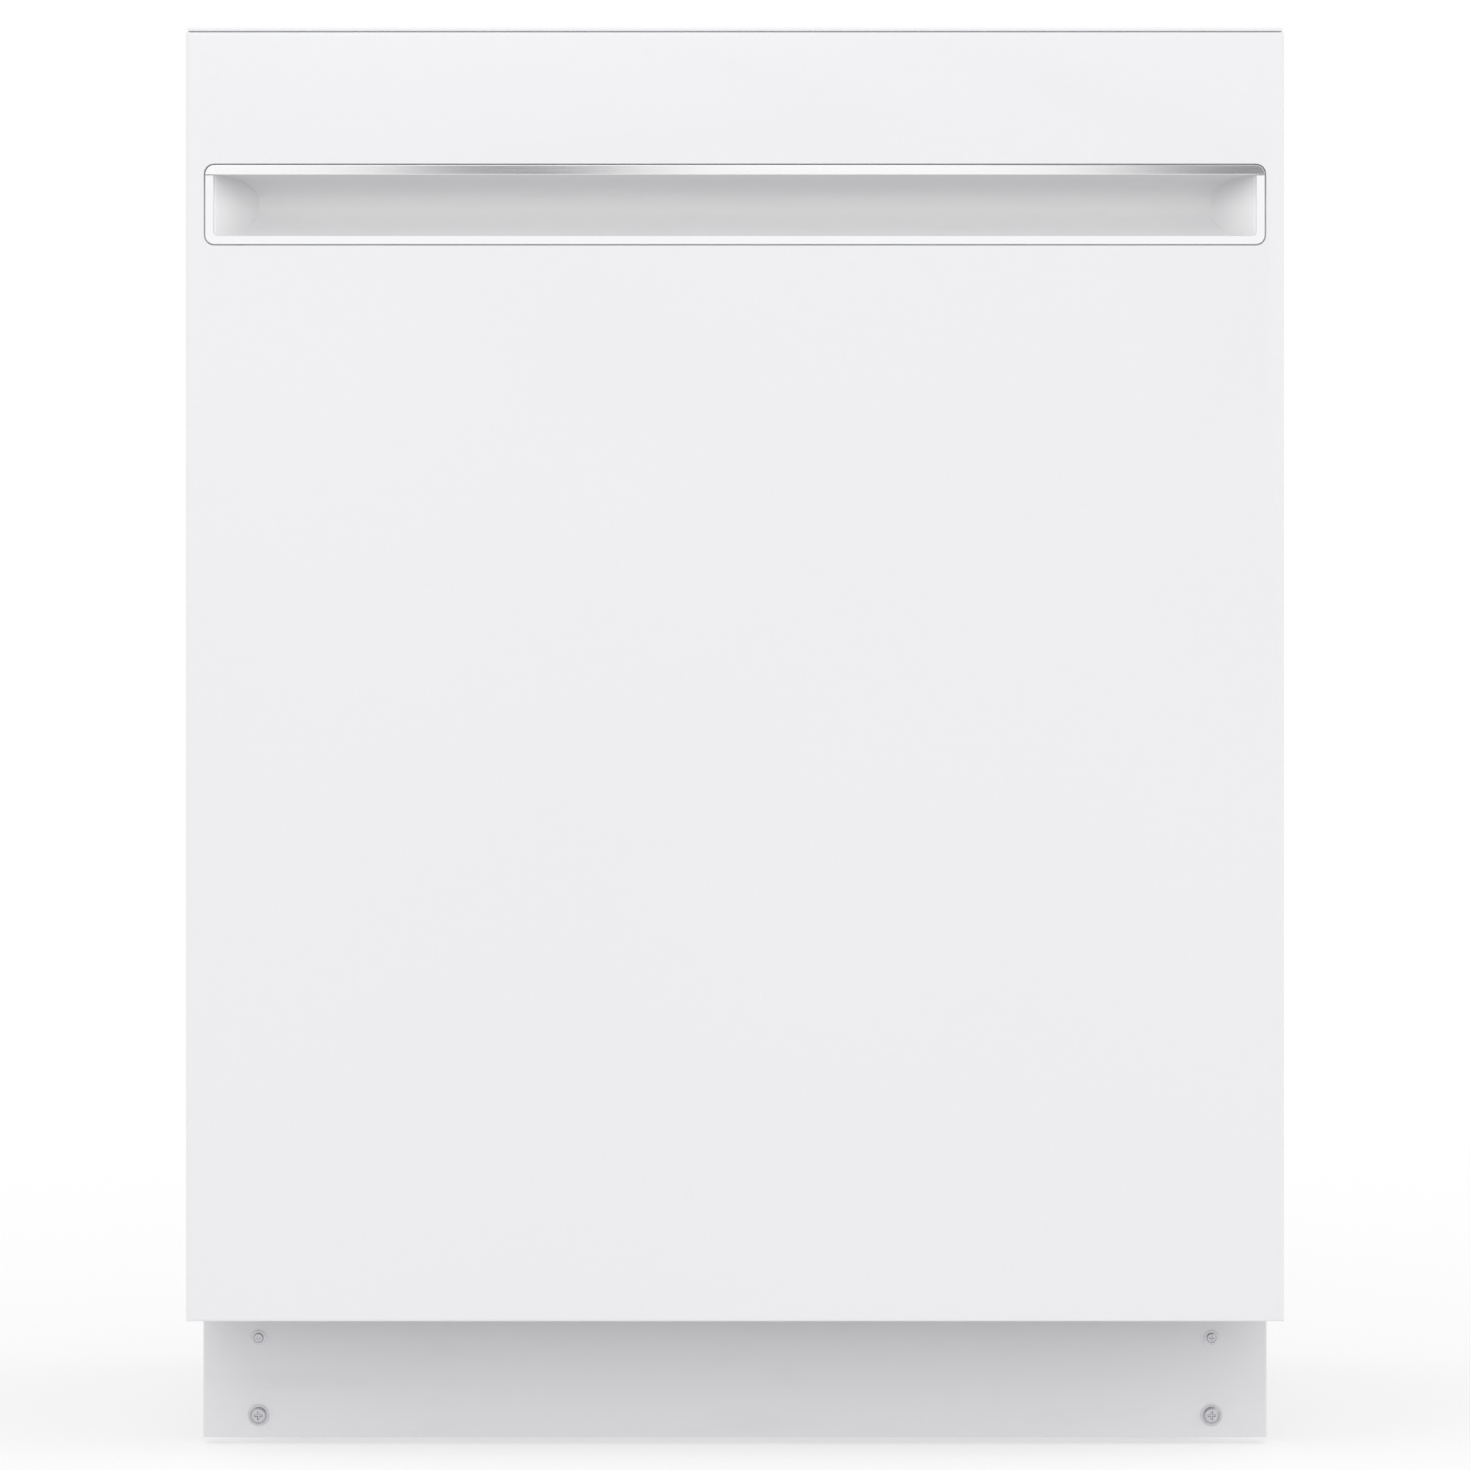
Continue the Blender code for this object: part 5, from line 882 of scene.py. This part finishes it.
def wires(name, paths, radius, body, stands_for=(), bevel=3):
    """Round wire along each path. A path is its points and whether it closes on itself."""
    data = bpy.data.curves.new(name, "CURVE")
    data.dimensions = "3D"
    data.bevel_depth = radius
    data.bevel_resolution = bevel
    data.use_fill_caps = True
    for points, looped in paths:
        line = data.splines.new("POLY")
        line.points.add(len(points) - 1)
        line.use_cyclic_u = looped
        for spot, point in zip(line.points, points):
            spot.co = (*point, 1)
    data.materials.append(nylon.material)
    obj = bpy.data.objects.new(name, data)
    scene.collection.objects.link(obj)
    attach(obj, body)
    if stands_for:
        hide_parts(*stands_for)


def basket_wires(name, body, half, floor, rims, node):
    top = rims[-1]
    paths = []
    for x in evenly(-half + 0.016, half - 0.016, 15):
        corners = [(x, RACK_FRONT, top), (x, RACK_FRONT, floor), (x, RACK_REAR, floor),
                   (x, RACK_REAR, top)]
        paths.append((bent(corners, 0.016), False))
    for y in evenly(RACK_FRONT + 0.020, RACK_REAR - 0.020, 11):
        corners = [(-half, y, top), (-half, y, floor + CROSS), (half, y, floor + CROSS), (half, y, top)]
        paths.append((bent(corners, 0.016), False))
    x, front, rear = half + CROSS * 0.8, RACK_FRONT - CROSS * 0.8, RACK_REAR + CROSS * 0.8
    for z in rims:
        corners = [(-x, front, z), (x, front, z), (x, rear, z), (-x, rear, z)]
        paths.append((bent(corners, 0.014, True), True))
    wires(name, paths, WIRE, body, (node,))


def tine_rows(name, body, xs, floor, front, ys, foot, tip, tall):
    """Rows of tines that lean back, each row standing on one long wire."""
    paths = []
    for x in xs:
        paths.append(([(x, front, floor + 0.0005), (x, RACK_REAR - 0.020, floor + 0.0005)], False))
        for y in ys:
            corners = [(x, y - foot, floor + 0.0010), (x, y, floor + 0.0040), (x, y + tip, floor + tall)]
            paths.append((bent(corners, 0.005, steps=3), False))
    wires(name, paths, TINE, body, bevel=2)


LOWER_FLOOR, LOWER_HALF, LOWER_RIM = 0.1895, 0.2605, 0.3745
basket_wires("lower_rack_basket", "lower_rack_assembly", LOWER_HALF, LOWER_FLOOR,
             (LOWER_FLOOR + 0.035, LOWER_FLOOR + 0.070, LOWER_RIM), "lower_rack")
tine_rows("lower_rack_tines", "lower_rack_assembly",
          (-0.2105, -0.1705, -0.0960, -0.0605, 0.0190, 0.0560), LOWER_FLOOR, RACK_FRONT + 0.030,
          evenly(-0.182, 0.218, 15), 0.006, 0.004, 0.062)

WHEEL_Z = 0.1475
wheels, forks = Shape(), Shape()
for side in (-1, 1):
    for y in evenly(RACK_FRONT + 0.1199, RACK_FRONT + 0.4395, 5):
        hub = Vector((side * 0.2685, y, WHEEL_Z))
        out = (side, 0, 0)
        wheels.turned([(0.0055, 0.0000), (0.0110, 0.0008), (0.0135, 0.0002), (0.0165, 0.0000),
                       (0.0180, 0.0012), (0.0180, 0.0050), (0.0165, 0.0063), (0.0135, 0.0061),
                       (0.0125, 0.0040), (0.0060, 0.0040), (0.0050, 0.0066), (0.0, 0.0066)],
                      hub, out, 40)
        web = hub + Vector((side * 0.0048, 0, 0))
        for spoke in zip(circle(web, 0.0045, 6, "YZ"), circle(web, 0.0140, 6, "YZ")):
            wheels.tube(spoke, 0.0011, 8)
        left, right = sorted((side * 0.2600, side * 0.2662))
        forks.box((left, y - 0.0055, WHEEL_Z - 0.0055), (right, y + 0.0055, LOWER_FLOOR + 0.028))
        forks.rod(hub - Vector((side * 0.0085, 0, 0)), hub + Vector((side * 0.0070, 0, 0)), 0.0032, 16)
wheels.fit("lower_rack_wheels", pale, "lower_rack_assembly", "rack_vinyl", smooth=30)
forks.fit("lower_rack_forks", nylon, "lower_rack_assembly", "rack_vinyl", edge=0.0008)

UPPER_FLOOR, UPPER_HALF, UPPER_RIM = 0.4555, 0.2565, 0.5905
CHANNEL_Z = 0.5205
basket_wires("upper_rack_basket", "upper_rack_assembly", UPPER_HALF, UPPER_FLOOR,
             (UPPER_FLOOR + 0.036, CHANNEL_Z, UPPER_RIM), "upper_rack")
tine_rows("upper_rack_tines", "upper_rack_assembly",
          (-0.1465, -0.1050, -0.0400, 0.0400, 0.1050, 0.1465), UPPER_FLOOR, RACK_FRONT + 0.025,
          evenly(-0.185, 0.215, 11), 0.005, 0.003, 0.048)
rails = Shape()
for side in (-1, 1):
    profile = [(0.0165, 0.0150), (0.0030, 0.0150), (0.0030, -0.0150), (0.0165, -0.0150),
               (0.0165, -0.0130), (0.0050, -0.0130), (0.0050, 0.0130), (0.0165, 0.0130)]
    rows = [[(side * (UPPER_HALF + w), y, CHANNEL_Z + h) for w, h in profile]
            for y in (RACK_FRONT + 0.002, RACK_REAR)]
    rails.skin(rows, True, True)
rails.fit("upper_rack_rails", steel, "upper_rack_assembly", "rack_vinyl", edge=0.0006)
FEED_Z = 0.4465
feed = Shape()
feed.tube(bent([(0, RACK_REAR + 0.0043, FEED_Z), (0, SPIN_Y, FEED_Z), (0, SPIN_Y, 0.4300)], 0.010),
          0.0095, 24)
feed.turned([(0.0078, 0.4300), (0.0078, 0.4110), (0.0128, 0.4108), (0.0130, 0.4062),
             (0.0115, 0.4056), (0, 0.4056)], (0, SPIN_Y, 0), sides=32)
feed.turned([(0.0, -0.0010), (0.0125, -0.0010), (0.0140, 0.0010), (0.0140, 0.0070), (0.0095, 0.0090)],
            (0, RACK_REAR - 0.004, FEED_Z), (0, -1, 0), 32)
for y in (0.075, 0.150, 0.215):
    feed.box((-0.012, y - 0.005, FEED_Z), (0.012, y + 0.005, UPPER_FLOOR + 0.004))
feed.fit("upper_rack_feed", grey, "upper_rack_assembly", "grey_plastic", edge=0.0004)
for name, body, z, half in (("lower_rack_grip", "lower_rack_assembly", LOWER_RIM, 0.075),
                            ("upper_rack_grip", "upper_rack_assembly", UPPER_RIM, 0.085)):
    rows = []
    for x in evenly(-half, half, 25):
        size = 1 - 0.18 * (x / half) ** 2
        rows.append([(x, RACK_FRONT + 0.0055 * size * spot.y, z - 0.0060 + 0.0085 * size * spot.z)
                     for spot in circle((0, 0, 0), 1.0, 20, "YZ")])
    Shape().skin(rows, True, True).fit(name, grey, body, "grey_plastic", edge=0.0006)

# ---------------------------------------------------------------- silverware basket
# A moulded open lattice in two cells, with a rounded rim and a carrying handle.
basket_low, basket_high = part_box("silverware_basket")
base_z, rim_z, handle_z = basket_low.z, basket_high.z - 0.032, basket_high.z
basket = Shape()
BAR = 0.0013
near_x, near_y = basket_low.x + BAR, basket_low.y + BAR
far_x, far_y = basket_high.x - BAR, basket_high.y - BAR
middle_x, middle_y = (near_x + far_x) / 2, (near_y + far_y) / 2


def bar(start, end):
    basket.tube([start, end], BAR, 8)


for z, thick in ((base_z + 0.0016, 0.0016), (base_z + 0.031, BAR), (base_z + 0.062, BAR),
                 (base_z + 0.093, BAR), (rim_z - 0.0020, 0.0022)):
    outline = [(near_x, near_y, z), (far_x, near_y, z), (far_x, far_y, z), (near_x, far_y, z)]
    basket.tube(bent(outline, 0.008, True), thick, 10, True)
for x in evenly(near_x + 0.007, far_x - 0.007, 15):
    for y in (near_y, far_y):
        bar((x, y, base_z + 0.001), (x, y, rim_z - 0.001))
    bar((x, near_y, base_z + BAR), (x, far_y, base_z + BAR))
for y in evenly(near_y + 0.007, far_y - 0.007, 10):
    for x in (near_x, far_x):
        bar((x, y, base_z + 0.001), (x, y, rim_z - 0.001))
    bar((near_x, y, base_z + BAR), (far_x, y, base_z + BAR))
for z in evenly(base_z + 0.014, rim_z - 0.004, 7):
    bar((middle_x, near_y, z), (middle_x, far_y, z))
for y in evenly(near_y + 0.012, far_y - 0.012, 7):
    bar((middle_x, y, base_z + 0.001), (middle_x, y, rim_z - 0.002))
basket.box((middle_x - 0.0016, middle_y - 0.012, rim_z - 0.020),
           (middle_x + 0.0016, middle_y + 0.012, handle_z - 0.004))
basket.tube([(middle_x + aside, middle_y, handle_z - drop) for aside, drop in
             ((-0.030, 0.0044), (-0.026, 0.0042), (0.026, 0.0042), (0.030, 0.0044))],
            [0.0030, 0.0041, 0.0041, 0.0030], 20)
basket.fit("silverware_lattice", grey, "silverware_basket", "grey_plastic", ("silverware_basket",))

# ---------------------------------------------------------------- insulation blanket
# Grey cotton felt, quilted in squares and bound along its edges with woven tape. One sheet wraps
# the sides and the roof, and a second covers the rear wall.
felt = Finish("cotton_felt", (0.30, 0.305, 0.315), 0.95, sheen_weight=0.35, sheen_roughness=0.5)
fibre = felt.noise(650.0, 4.0, (1.0, 0.35, 1.0), 0.75)
lint = felt.noise(520.0, 2.0, (0.4, 1.0, 0.4)).between(0.58, 0.72)
shade = felt.noise(6.0, 3.0)
batting = felt.blend(fibre, (0.150, 0.155, 0.165), (0.300, 0.305, 0.315))
batting = felt.blend(lint * 0.55, batting, (0.40, 0.41, 0.44))
felt.paint(felt.blend(shade * 0.4, batting, (0.13, 0.14, 0.17)))
felt.dull(fibre, 0.1, 0.86)
felt.emboss(fibre * 0.6 + felt.noise(160.0, 3.0) * 0.4, 0.0011)
FELT_THICK = 0.0036
PILLOW = 0.0056  # how far a square stands out from its seams
SEAM_DROP = 0.0014  # how far the seams are drawn in
PER_SQUARE = 11  # steps of the sheet across one square
felt_low, felt_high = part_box("insulation_blanket")
felt_x, felt_top, felt_rear = felt_high.x - 0.0016, felt_high.z - 0.0016, felt_high.y - 0.0016
wrap_rear = felt_rear - 0.010
CORNER = 0.012
DEEP_SQUARES, SIDE_SQUARES, ROOF_SQUARES = 6, 7, 6


def quilt(run, deep, tape_room):
    """How far a point stands out: square pillows between seams, creased, and flat under the tape."""
    across = abs(math.sin(math.pi * run)) ** 0.55
    down = abs(math.sin(math.pi * deep)) ** 0.55
    crease = (math.sin(run * 5.3 + 2.1 * math.sin(deep * 1.9))
              * math.sin(deep * 3.9 + 1.7 * math.sin(run * 1.6)))
    flat = min(max((tape_room - 0.008) / 0.014, 0.0), 1.0)
    return (PILLOW + 0.0007 * crease) * across * down * flat - SEAM_DROP


def wrap_path():
    """Places, outward directions and quilt phases round the left side, the roof and the right."""
    side_zs = evenly(felt_low.z, felt_top - CORNER, SIDE_SQUARES * PER_SQUARE + 1)
    left = [(Vector((-felt_x, 0, z)), Vector((-1, 0, 0)), s / PER_SQUARE)
            for s, z in enumerate(side_zs)]
    for s in range(1, 7):
        a = math.radians(180 - 90 * s / 7)
        out = Vector((math.cos(a), 0, math.sin(a)))
        left.append((Vector((-felt_x + CORNER, 0, felt_top - CORNER)) + out * CORNER, out, 0.0))
    right = [(Vector((-place.x, 0, place.z)), Vector((-out.x, 0, out.z)), phase)
             for place, out, phase in reversed(left)]
    roof_xs = evenly(-felt_x + CORNER, felt_x - CORNER, ROOF_SQUARES * PER_SQUARE + 1)
    roof = [(Vector((x, 0, felt_top)), Vector((0, 0, 1)), s / PER_SQUARE)
            for s, x in enumerate(roof_xs)]
    return left + roof + right


def blanket_sheet(name, rows, stands_for=()):
    obj = Shape().skin(rows).fit(name, felt, "cabinet", "sound_felt", stands_for, smooth=180)
    body = obj.modifiers.new("thickness", "SOLIDIFY")
    body.thickness = FELT_THICK
    facing_out = obj.data.polygons[0].normal.dot(rows[0][0] - Vector((0, 0, 0.45))) > 0
    body.offset = -1.0 if facing_out else 1.0


path = wrap_path()
wrap_ys = evenly(felt_low.y, wrap_rear, DEEP_SQUARES * PER_SQUARE + 1)
rows = []
for spot, out, phase in path:
    row = []
    for s, y in enumerate(wrap_ys):
        room = min(y - felt_low.y, wrap_rear - y, spot.z - felt_low.z)
        row.append(spot + out * quilt(phase, s / PER_SQUARE, room) + Vector((0, y, 0)))
    rows.append(row)
blanket_sheet("insulation_wrap", rows, ("insulation_blanket",))
rear_half, rear_top = felt_x - 0.004, felt_top - 0.004
rear_xs = evenly(-rear_half, rear_half, DEEP_SQUARES * PER_SQUARE + 1)
rear_zs = evenly(felt_low.z, rear_top, SIDE_SQUARES * PER_SQUARE + 1)
rows = []
for s, z in enumerate(rear_zs):
    row = []
    for t, x in enumerate(rear_xs):
        room = min(rear_half - abs(x), z - felt_low.z, rear_top - z)
        row.append(Vector((x, felt_rear + quilt(t / PER_SQUARE, s / PER_SQUARE, room), z)))
    rows.append(row)
blanket_sheet("insulation_rear", rows)

tape = Finish("woven_tape", (0.060, 0.062, 0.066), 0.80)
twill = ((tape.along(0) + tape.along(1) + tape.along(2)) * 3200.0).maths("SINE") * 0.5 + 0.5
tape.mottle(twill, (0.045, 0.047, 0.050), (0.095, 0.097, 0.102))
tape.dull(twill, 0.1, 0.72)
tape.emboss(twill, 0.0003)
binding = Shape()


def bind(spots, wide, tall):
    """A folded tape along an edge. Each spot is a place, its outward way and the tape's own way."""
    oblong = [rounded(2 * math.pi * step / 12, (0.6, 0.6)) for step in range(12)]
    binding.skin([[place + side * wide * across + out * tall * up for across, up in oblong]
                  for place, out, side in spots], True, True)


TAPE_IN, TAPE_HALF = 0.0017, 0.0025  # from the felt's outer face, clear of the tub's wall
for y in (felt_low.y + 0.004, felt_rear - 0.0155):
    bind([(place - out * TAPE_IN + Vector((0, y, 0)), out, AXES["Y"])
          for place, out, phase in path], 0.0066, TAPE_HALF)
for side in (-1, 1):
    foot = Vector((side * (felt_x - TAPE_IN), 0, felt_low.z + 0.0040))
    bind([(foot + Vector((0, y, 0)), Vector((side, 0, 0)), AXES["Z"])
          for y in evenly(felt_low.y, felt_rear - 0.010, 24)], 0.0052, TAPE_HALF)
corners = [(-felt_x + 0.008, felt_low.z + 0.006), (-felt_x + 0.008, felt_top - 0.008),
           (felt_x - 0.008, felt_top - 0.008), (felt_x - 0.008, felt_low.z + 0.006)]
frame_path = bent([(x, felt_rear - 0.0008, z) for x, z in corners], 0.010, True)
spots = []
for i, place in enumerate(frame_path):
    way = (frame_path[(i + 1) % len(frame_path)] - frame_path[i - 1]).normalized()
    spots.append((place, AXES["Y"], AXES["Y"].cross(way)))
bind(spots + spots[:1], 0.0060, 0.0028)
binding.fit("insulation_binding", tape, "cabinet", "sound_felt", smooth=60)

thread = Finish("seam_thread", (0.55, 0.56, 0.58), 0.7)
thread.dull(thread.noise(900.0), 0.2, 0.6)
stitches = Shape()
STITCH = 0.0021


def stitch(place, way):
    stitches.tube([place - way * STITCH, place + way * STITCH], 0.00042, 5)


for i in range(1, len(path) - 1):
    spot, out, phase = path[i]
    seat = spot - out * (SEAM_DROP - 0.0002)
    for y in wrap_ys[PER_SQUARE:-1:PER_SQUARE]:
        stitch(seat + Vector((0, y, 0)), (path[i + 1][0] - path[i - 1][0]).normalized())
    if phase and phase == int(phase):
        for y in wrap_ys[2:-2]:
            stitch(seat + Vector((0, y, 0)), AXES["Y"])
seat_y = felt_rear - SEAM_DROP + 0.0002
for x in rear_xs[PER_SQUARE:-1:PER_SQUARE]:
    for z in rear_zs[2:-2]:
        stitch(Vector((x, seat_y, z)), AXES["Z"])
for z in rear_zs[PER_SQUARE:-1:PER_SQUARE]:
    for x in rear_xs[2:-2]:
        stitch(Vector((x, seat_y, z)), AXES["X"])
stitches.fit("insulation_stitches", thread, "cabinet", "sound_felt", weld=False)

bitumen = Finish("bitumen_pad", (0.030, 0.029, 0.028), 0.75)
crack = bitumen.cells(60.0, "DISTANCE_TO_EDGE")
bitumen.mottle(bitumen.noise(40.0, 4.0), (0.022, 0.021, 0.020), (0.048, 0.046, 0.044))
bitumen.dull(bitumen.noise(150.0, 3.0), 0.2, 0.62)
bitumen.emboss(crack.between(0.0, 0.08), 0.0004)
dress(bitumen, 0.0006, "door_sound_pad")

# ---------------------------------------------------------------- base frame, legs, kick screws
# Zinc-coated pressed channels, riveted at the corners. Four threaded legs with six-sided nuts
# level the machine, and four cross-head screws hold the kick plate.
dress(zinc, 0.0005, "base_frame")
SIDE_X, BACK_Y = 0.2839, 0.3049  # the outer faces of the base's side and rear channels


def rivet(shape, seat, out, *rings):
    """A domed head, from rings of a radius and a height up to a point."""
    shape.turned(rings, seat, out, 20)


rivets, swages = Shape(), Shape()
for side in (-1, 1):
    out = (side, 0, 0)
    for y in (-0.196, -0.188, 0.262, 0.270):
        for z in (0.052, 0.068):
            rivet(rivets, (side * SIDE_X, y, z), out,
                  (0.0030, 0), (0.0029, 0.0006), (0.0018, 0.0012), (0.0, 0.0014))
    for y in (-0.197, -0.184, 0.264, 0.276):
        rivet(rivets, (side * SIDE_X, y, 0.102), out,
              (0.0034, 0), (0.0033, 0.0007), (0.0020, 0.0014), (0.0, 0.0016))
    for front, rear in ((-0.150, 0.025), (0.075, 0.235)):
        swages.bead((side * SIDE_X, front, 0.060), (side * SIDE_X, rear, 0.060), out, 0.0050, 0.0012)
for x in (-0.250, -0.150, 0.150, 0.250):
    rivet(rivets, (x, BACK_Y, 0.060), (0, 1, 0),
          (0.0032, 0), (0.0031, 0.0007), (0.0019, 0.0013), (0.0, 0.0015))
swages.bead((-0.120, BACK_Y, 0.060), (0.120, BACK_Y, 0.060), (0, 1, 0), 0.0050, 0.0012)
rivets.fit("base_rivets", screw_steel, "cabinet", "zinc_steel")
swages.fit("base_swages", zinc, "cabinet", "zinc_steel")

LEG_PITCH, THREAD_FOOT = 0.0015, 0.0150
lock_nuts = Shape()
for node in ("leg_front_left", "leg_front_right", "leg_rear_left", "leg_rear_right"):
    low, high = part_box(node)
    at = ((low.x + high.x) / 2, (low.y + high.y) / 2, 0)
    leg = Shape()
    leg.turned([(0.0, 0.0), (0.0165, 0.0), (0.0180, 0.0012), (0.0180, 0.0058), (0.0168, 0.0066),
                (0.0112, 0.0090), (0.0050, 0.0092)], at, sides=40)
    leg.turned([(0.0046, 0.0088), (0.0104, 0.0088), (0.0104, 0.0150), (0.0046, 0.0152)],
               at, sides=6)
    turns = int((high.z - 0.0170) / LEG_PITCH)
    thread = [(0.0049 if step % 2 else 0.0043, THREAD_FOOT + step * LEG_PITCH / 2)
              for step in range(turns * 2 + 1)]
    leg.turned([(0.0, 0.0140), *thread, (0.0040, high.z - 0.0006), (0.0, high.z)], at, sides=20)
    leg.fit(f"{node}_screw", zinc, node, "zinc_steel", (node,), smooth=28)
for x in (-0.252, 0.252):
    for y in (-0.180, 0.260):
        lock_nuts.turned([(0.0062, 0.0352), (0.0098, 0.0352), (0.0104, 0.0358), (0.0104, 0.0394),
                          (0.0098, 0.0399), (0.0062, 0.0399)], (x, y, 0), sides=6)
lock_nuts.fit("leg_lock_nuts", screw_steel, "cabinet", "zinc_steel", smooth=20)

for row in ("upper", "lower"):
    dress(screw_steel, 0.00025, f"kick_screw_{row}_left", f"kick_screw_{row}_right")
washers = Shape()
for side in (-1, 1):
    for z, inner, outer in ((0.0592, 0.0032, 0.0041), (0.0158, 0.0051, 0.0060)):
        washers.turned([(inner, 0.0), (outer, 0.0), (outer, 0.0004), (inner, 0.0005)],
                       (side * 0.267, -0.2300, z), (0, -1, 0), 40)
washers.fit("kick_screw_washers", screw_steel, "cabinet", "zinc_steel")

# ---------------------------------------------------------------- sump, pumps and inlet
# A moulded grey sump with its wash pump on the right and its drain pump on the left, both black
# with ribbed motor cases and wire clamps, a white inlet valve and a plated junction box.
dress(grey, 0.0008, "sump")
dress(grey, 0.0003, "pump_impeller")
dress(black, 0.0010, "wash_pump", "drain_pump")
dress(moulding, 0.0005, "inlet_valve")
dress(zinc, 0.0006, "junction_box")
PUMP_Z = 0.082
fins, clamps, coils = Shape(), Shape(), Shape()
sump_ribs = Shape()
for foot in circle((0, SPIN_Y, 0.0780), 0.1010, 16):
    if abs(foot.y - SPIN_Y) > 0.0303:  # the pumps' necks take the places at the sides
        sump_ribs.tube([foot, foot + Vector((0, 0, 0.0475))], 0.0022, 8)
sump_ribs.tube(circle((0, SPIN_Y, 0.1000), 0.1022, 72), 0.0014, 8, True)
sump_ribs.fit("sump_ribs", grey, "cabinet", "grey_plastic")
FIN_PITCH = 0.0085
for step in range(9):
    fins.tube(circle((0.150 + step * FIN_PITCH, SPIN_Y, PUMP_Z), 0.0342, 48, "YZ"), 0.0013, 8, True)
for step in range(5):
    fins.tube(circle((-0.138 - step * FIN_PITCH, SPIN_Y, PUMP_Z), 0.0242, 40, "YZ"), 0.0011, 8, True)
fins.box((0.150, SPIN_Y - 0.016, PUMP_Z + 0.031), (0.212, SPIN_Y + 0.016, PUMP_Z + 0.0405))
fins.fit("pump_cooling_ribs", black, "cabinet", "dark_plastic", edge=0.0004)
for x, front, z, radius in ((0.1255, 0.070, PUMP_Z, 0.0126), (-0.1230, 0.062, PUMP_Z - 0.008, 0.0100)):
    for y in (front, front + 0.010):
        clamps.tube(circle((x, y, z), radius, 36, "XZ"), 0.0008, 8, True)
for seat in circle((0.1384, SPIN_Y, PUMP_Z), 0.0375, 6, "YZ", 0.3):
    pan_head(clamps, seat, (1, 0, 0), 0.0020)
for seat in circle((-0.1304, SPIN_Y, PUMP_Z), 0.0270, 4, "YZ", 0.5):
    pan_head(clamps, seat, (-1, 0, 0), 0.0017)
clamps.fit("pump_screws_and_clamps", screw_steel, "cabinet", "zinc_steel")
valve_low, valve_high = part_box("inlet_valve")
valve_x, valve_z = middle("inlet_valve").x, 0.060
threads = Shape()
for step in range(8):
    y = valve_high.y - 0.0020 - step * 0.0022
    threads.tube(circle((valve_x, y, valve_z), 0.0130, 36, "XZ"), 0.0007, 6, True)
threads.fit("inlet_thread", moulding, "cabinet", "white_plastic")
for step in range(7):
    z = 0.078 + step * 0.0036
    coils.tube(circle((valve_x, valve_low.y + 0.015, z), 0.0116, 32), 0.0010, 8, True)
coils.fit("solenoid_ribs", black, "cabinet", "dark_plastic")
box_low, box_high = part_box("junction_box")
cover = Shape()
for x in (box_low.x + 0.007, box_high.x - 0.007):
    for z in (0.074, 0.043):
        pan_head(cover, (x, box_high.y - 0.0041, z), (0, 1, 0), 0.0021)
cover.fit("junction_box_screws", screw_steel, "cabinet", "zinc_steel")

# ---------------------------------------------------------------- hinges and counterbalance
# Each door arm turns on a pin in the base and pulls a flat link, which stretches a close-wound
# spring anchored half way back along the base.
oiled = Finish("oiled_spring_steel", (0.30, 0.30, 0.31), 0.32, 1.0)
temper = oiled.noise(90.0, 3.0)
oiled.mottle(temper, (0.24, 0.24, 0.25), (0.38, 0.37, 0.36))
oiled.dull(temper, 0.2, 0.24)
dress(oiled, 0.0004, "spring_link_left", "spring_link_right")
dress(zinc, 0.0004, "hinge_arm_left", "hinge_arm_right")
SPRING_TURNS, SPRING_STEPS, SPRING_WIRE = 46, 14, 0.0009
for word, side in (("left", -1), ("right", 1)):
    low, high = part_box(f"door_spring_{word}")
    x, z = (low.x + high.x) / 2, (low.z + high.z) / 2
    radius = (high.x - low.x) / 2 - 0.0010
    front, rear = low.y + 0.0006, high.y - 0.0006
    start, end = front + 0.012, rear - 0.012
    hook_z, shoulder_z = z + 0.0015, z + radius * 0.8
    coil = [(x, front, hook_z), (x, front + 0.003, hook_z), (x, front + 0.008, shoulder_z)]
    for step in range(SPRING_TURNS * SPRING_STEPS + 1):
        a = 2 * math.pi * step / SPRING_STEPS
        y = start + (end - start) * step / (SPRING_TURNS * SPRING_STEPS)
        coil.append((x + radius * math.sin(a), y, z + radius * math.cos(a)))
    coil += [(x, rear - 0.008, shoulder_z), (x, rear - 0.003, hook_z), (x, rear, hook_z)]
    spring = Shape().tube(coil, SPRING_WIRE, 8).fit(
        f"counter_spring_{word}", oiled, None, "spring_steel", (f"door_spring_{word}",))
    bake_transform(spring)
clips = Shape()
for side in (-1, 1):
    clips.turned([(0.0052, -0.0002), (0.0078, -0.0002), (0.0078, 0.0007), (0.0052, 0.0007)],
                 (side * 0.2986, -0.262, 0.100), (side, 0, 0), 28)
clips.fit("hinge_pin_clips", screw_steel, "cabinet", "spring_steel")
arm_rivets = Shape()
for side in (-1, 1):
    for z in (0.165, 0.200, 0.235):
        rivet(arm_rivets, (side * 0.2984, -0.284, z), (side, 0, 0),
              (0.0034, 0), (0.0033, 0.0005), (0.0020, 0.0009), (0.0, 0.0010))
arm_rivets.fit("hinge_arm_rivets", screw_steel, "door", "zinc_steel")
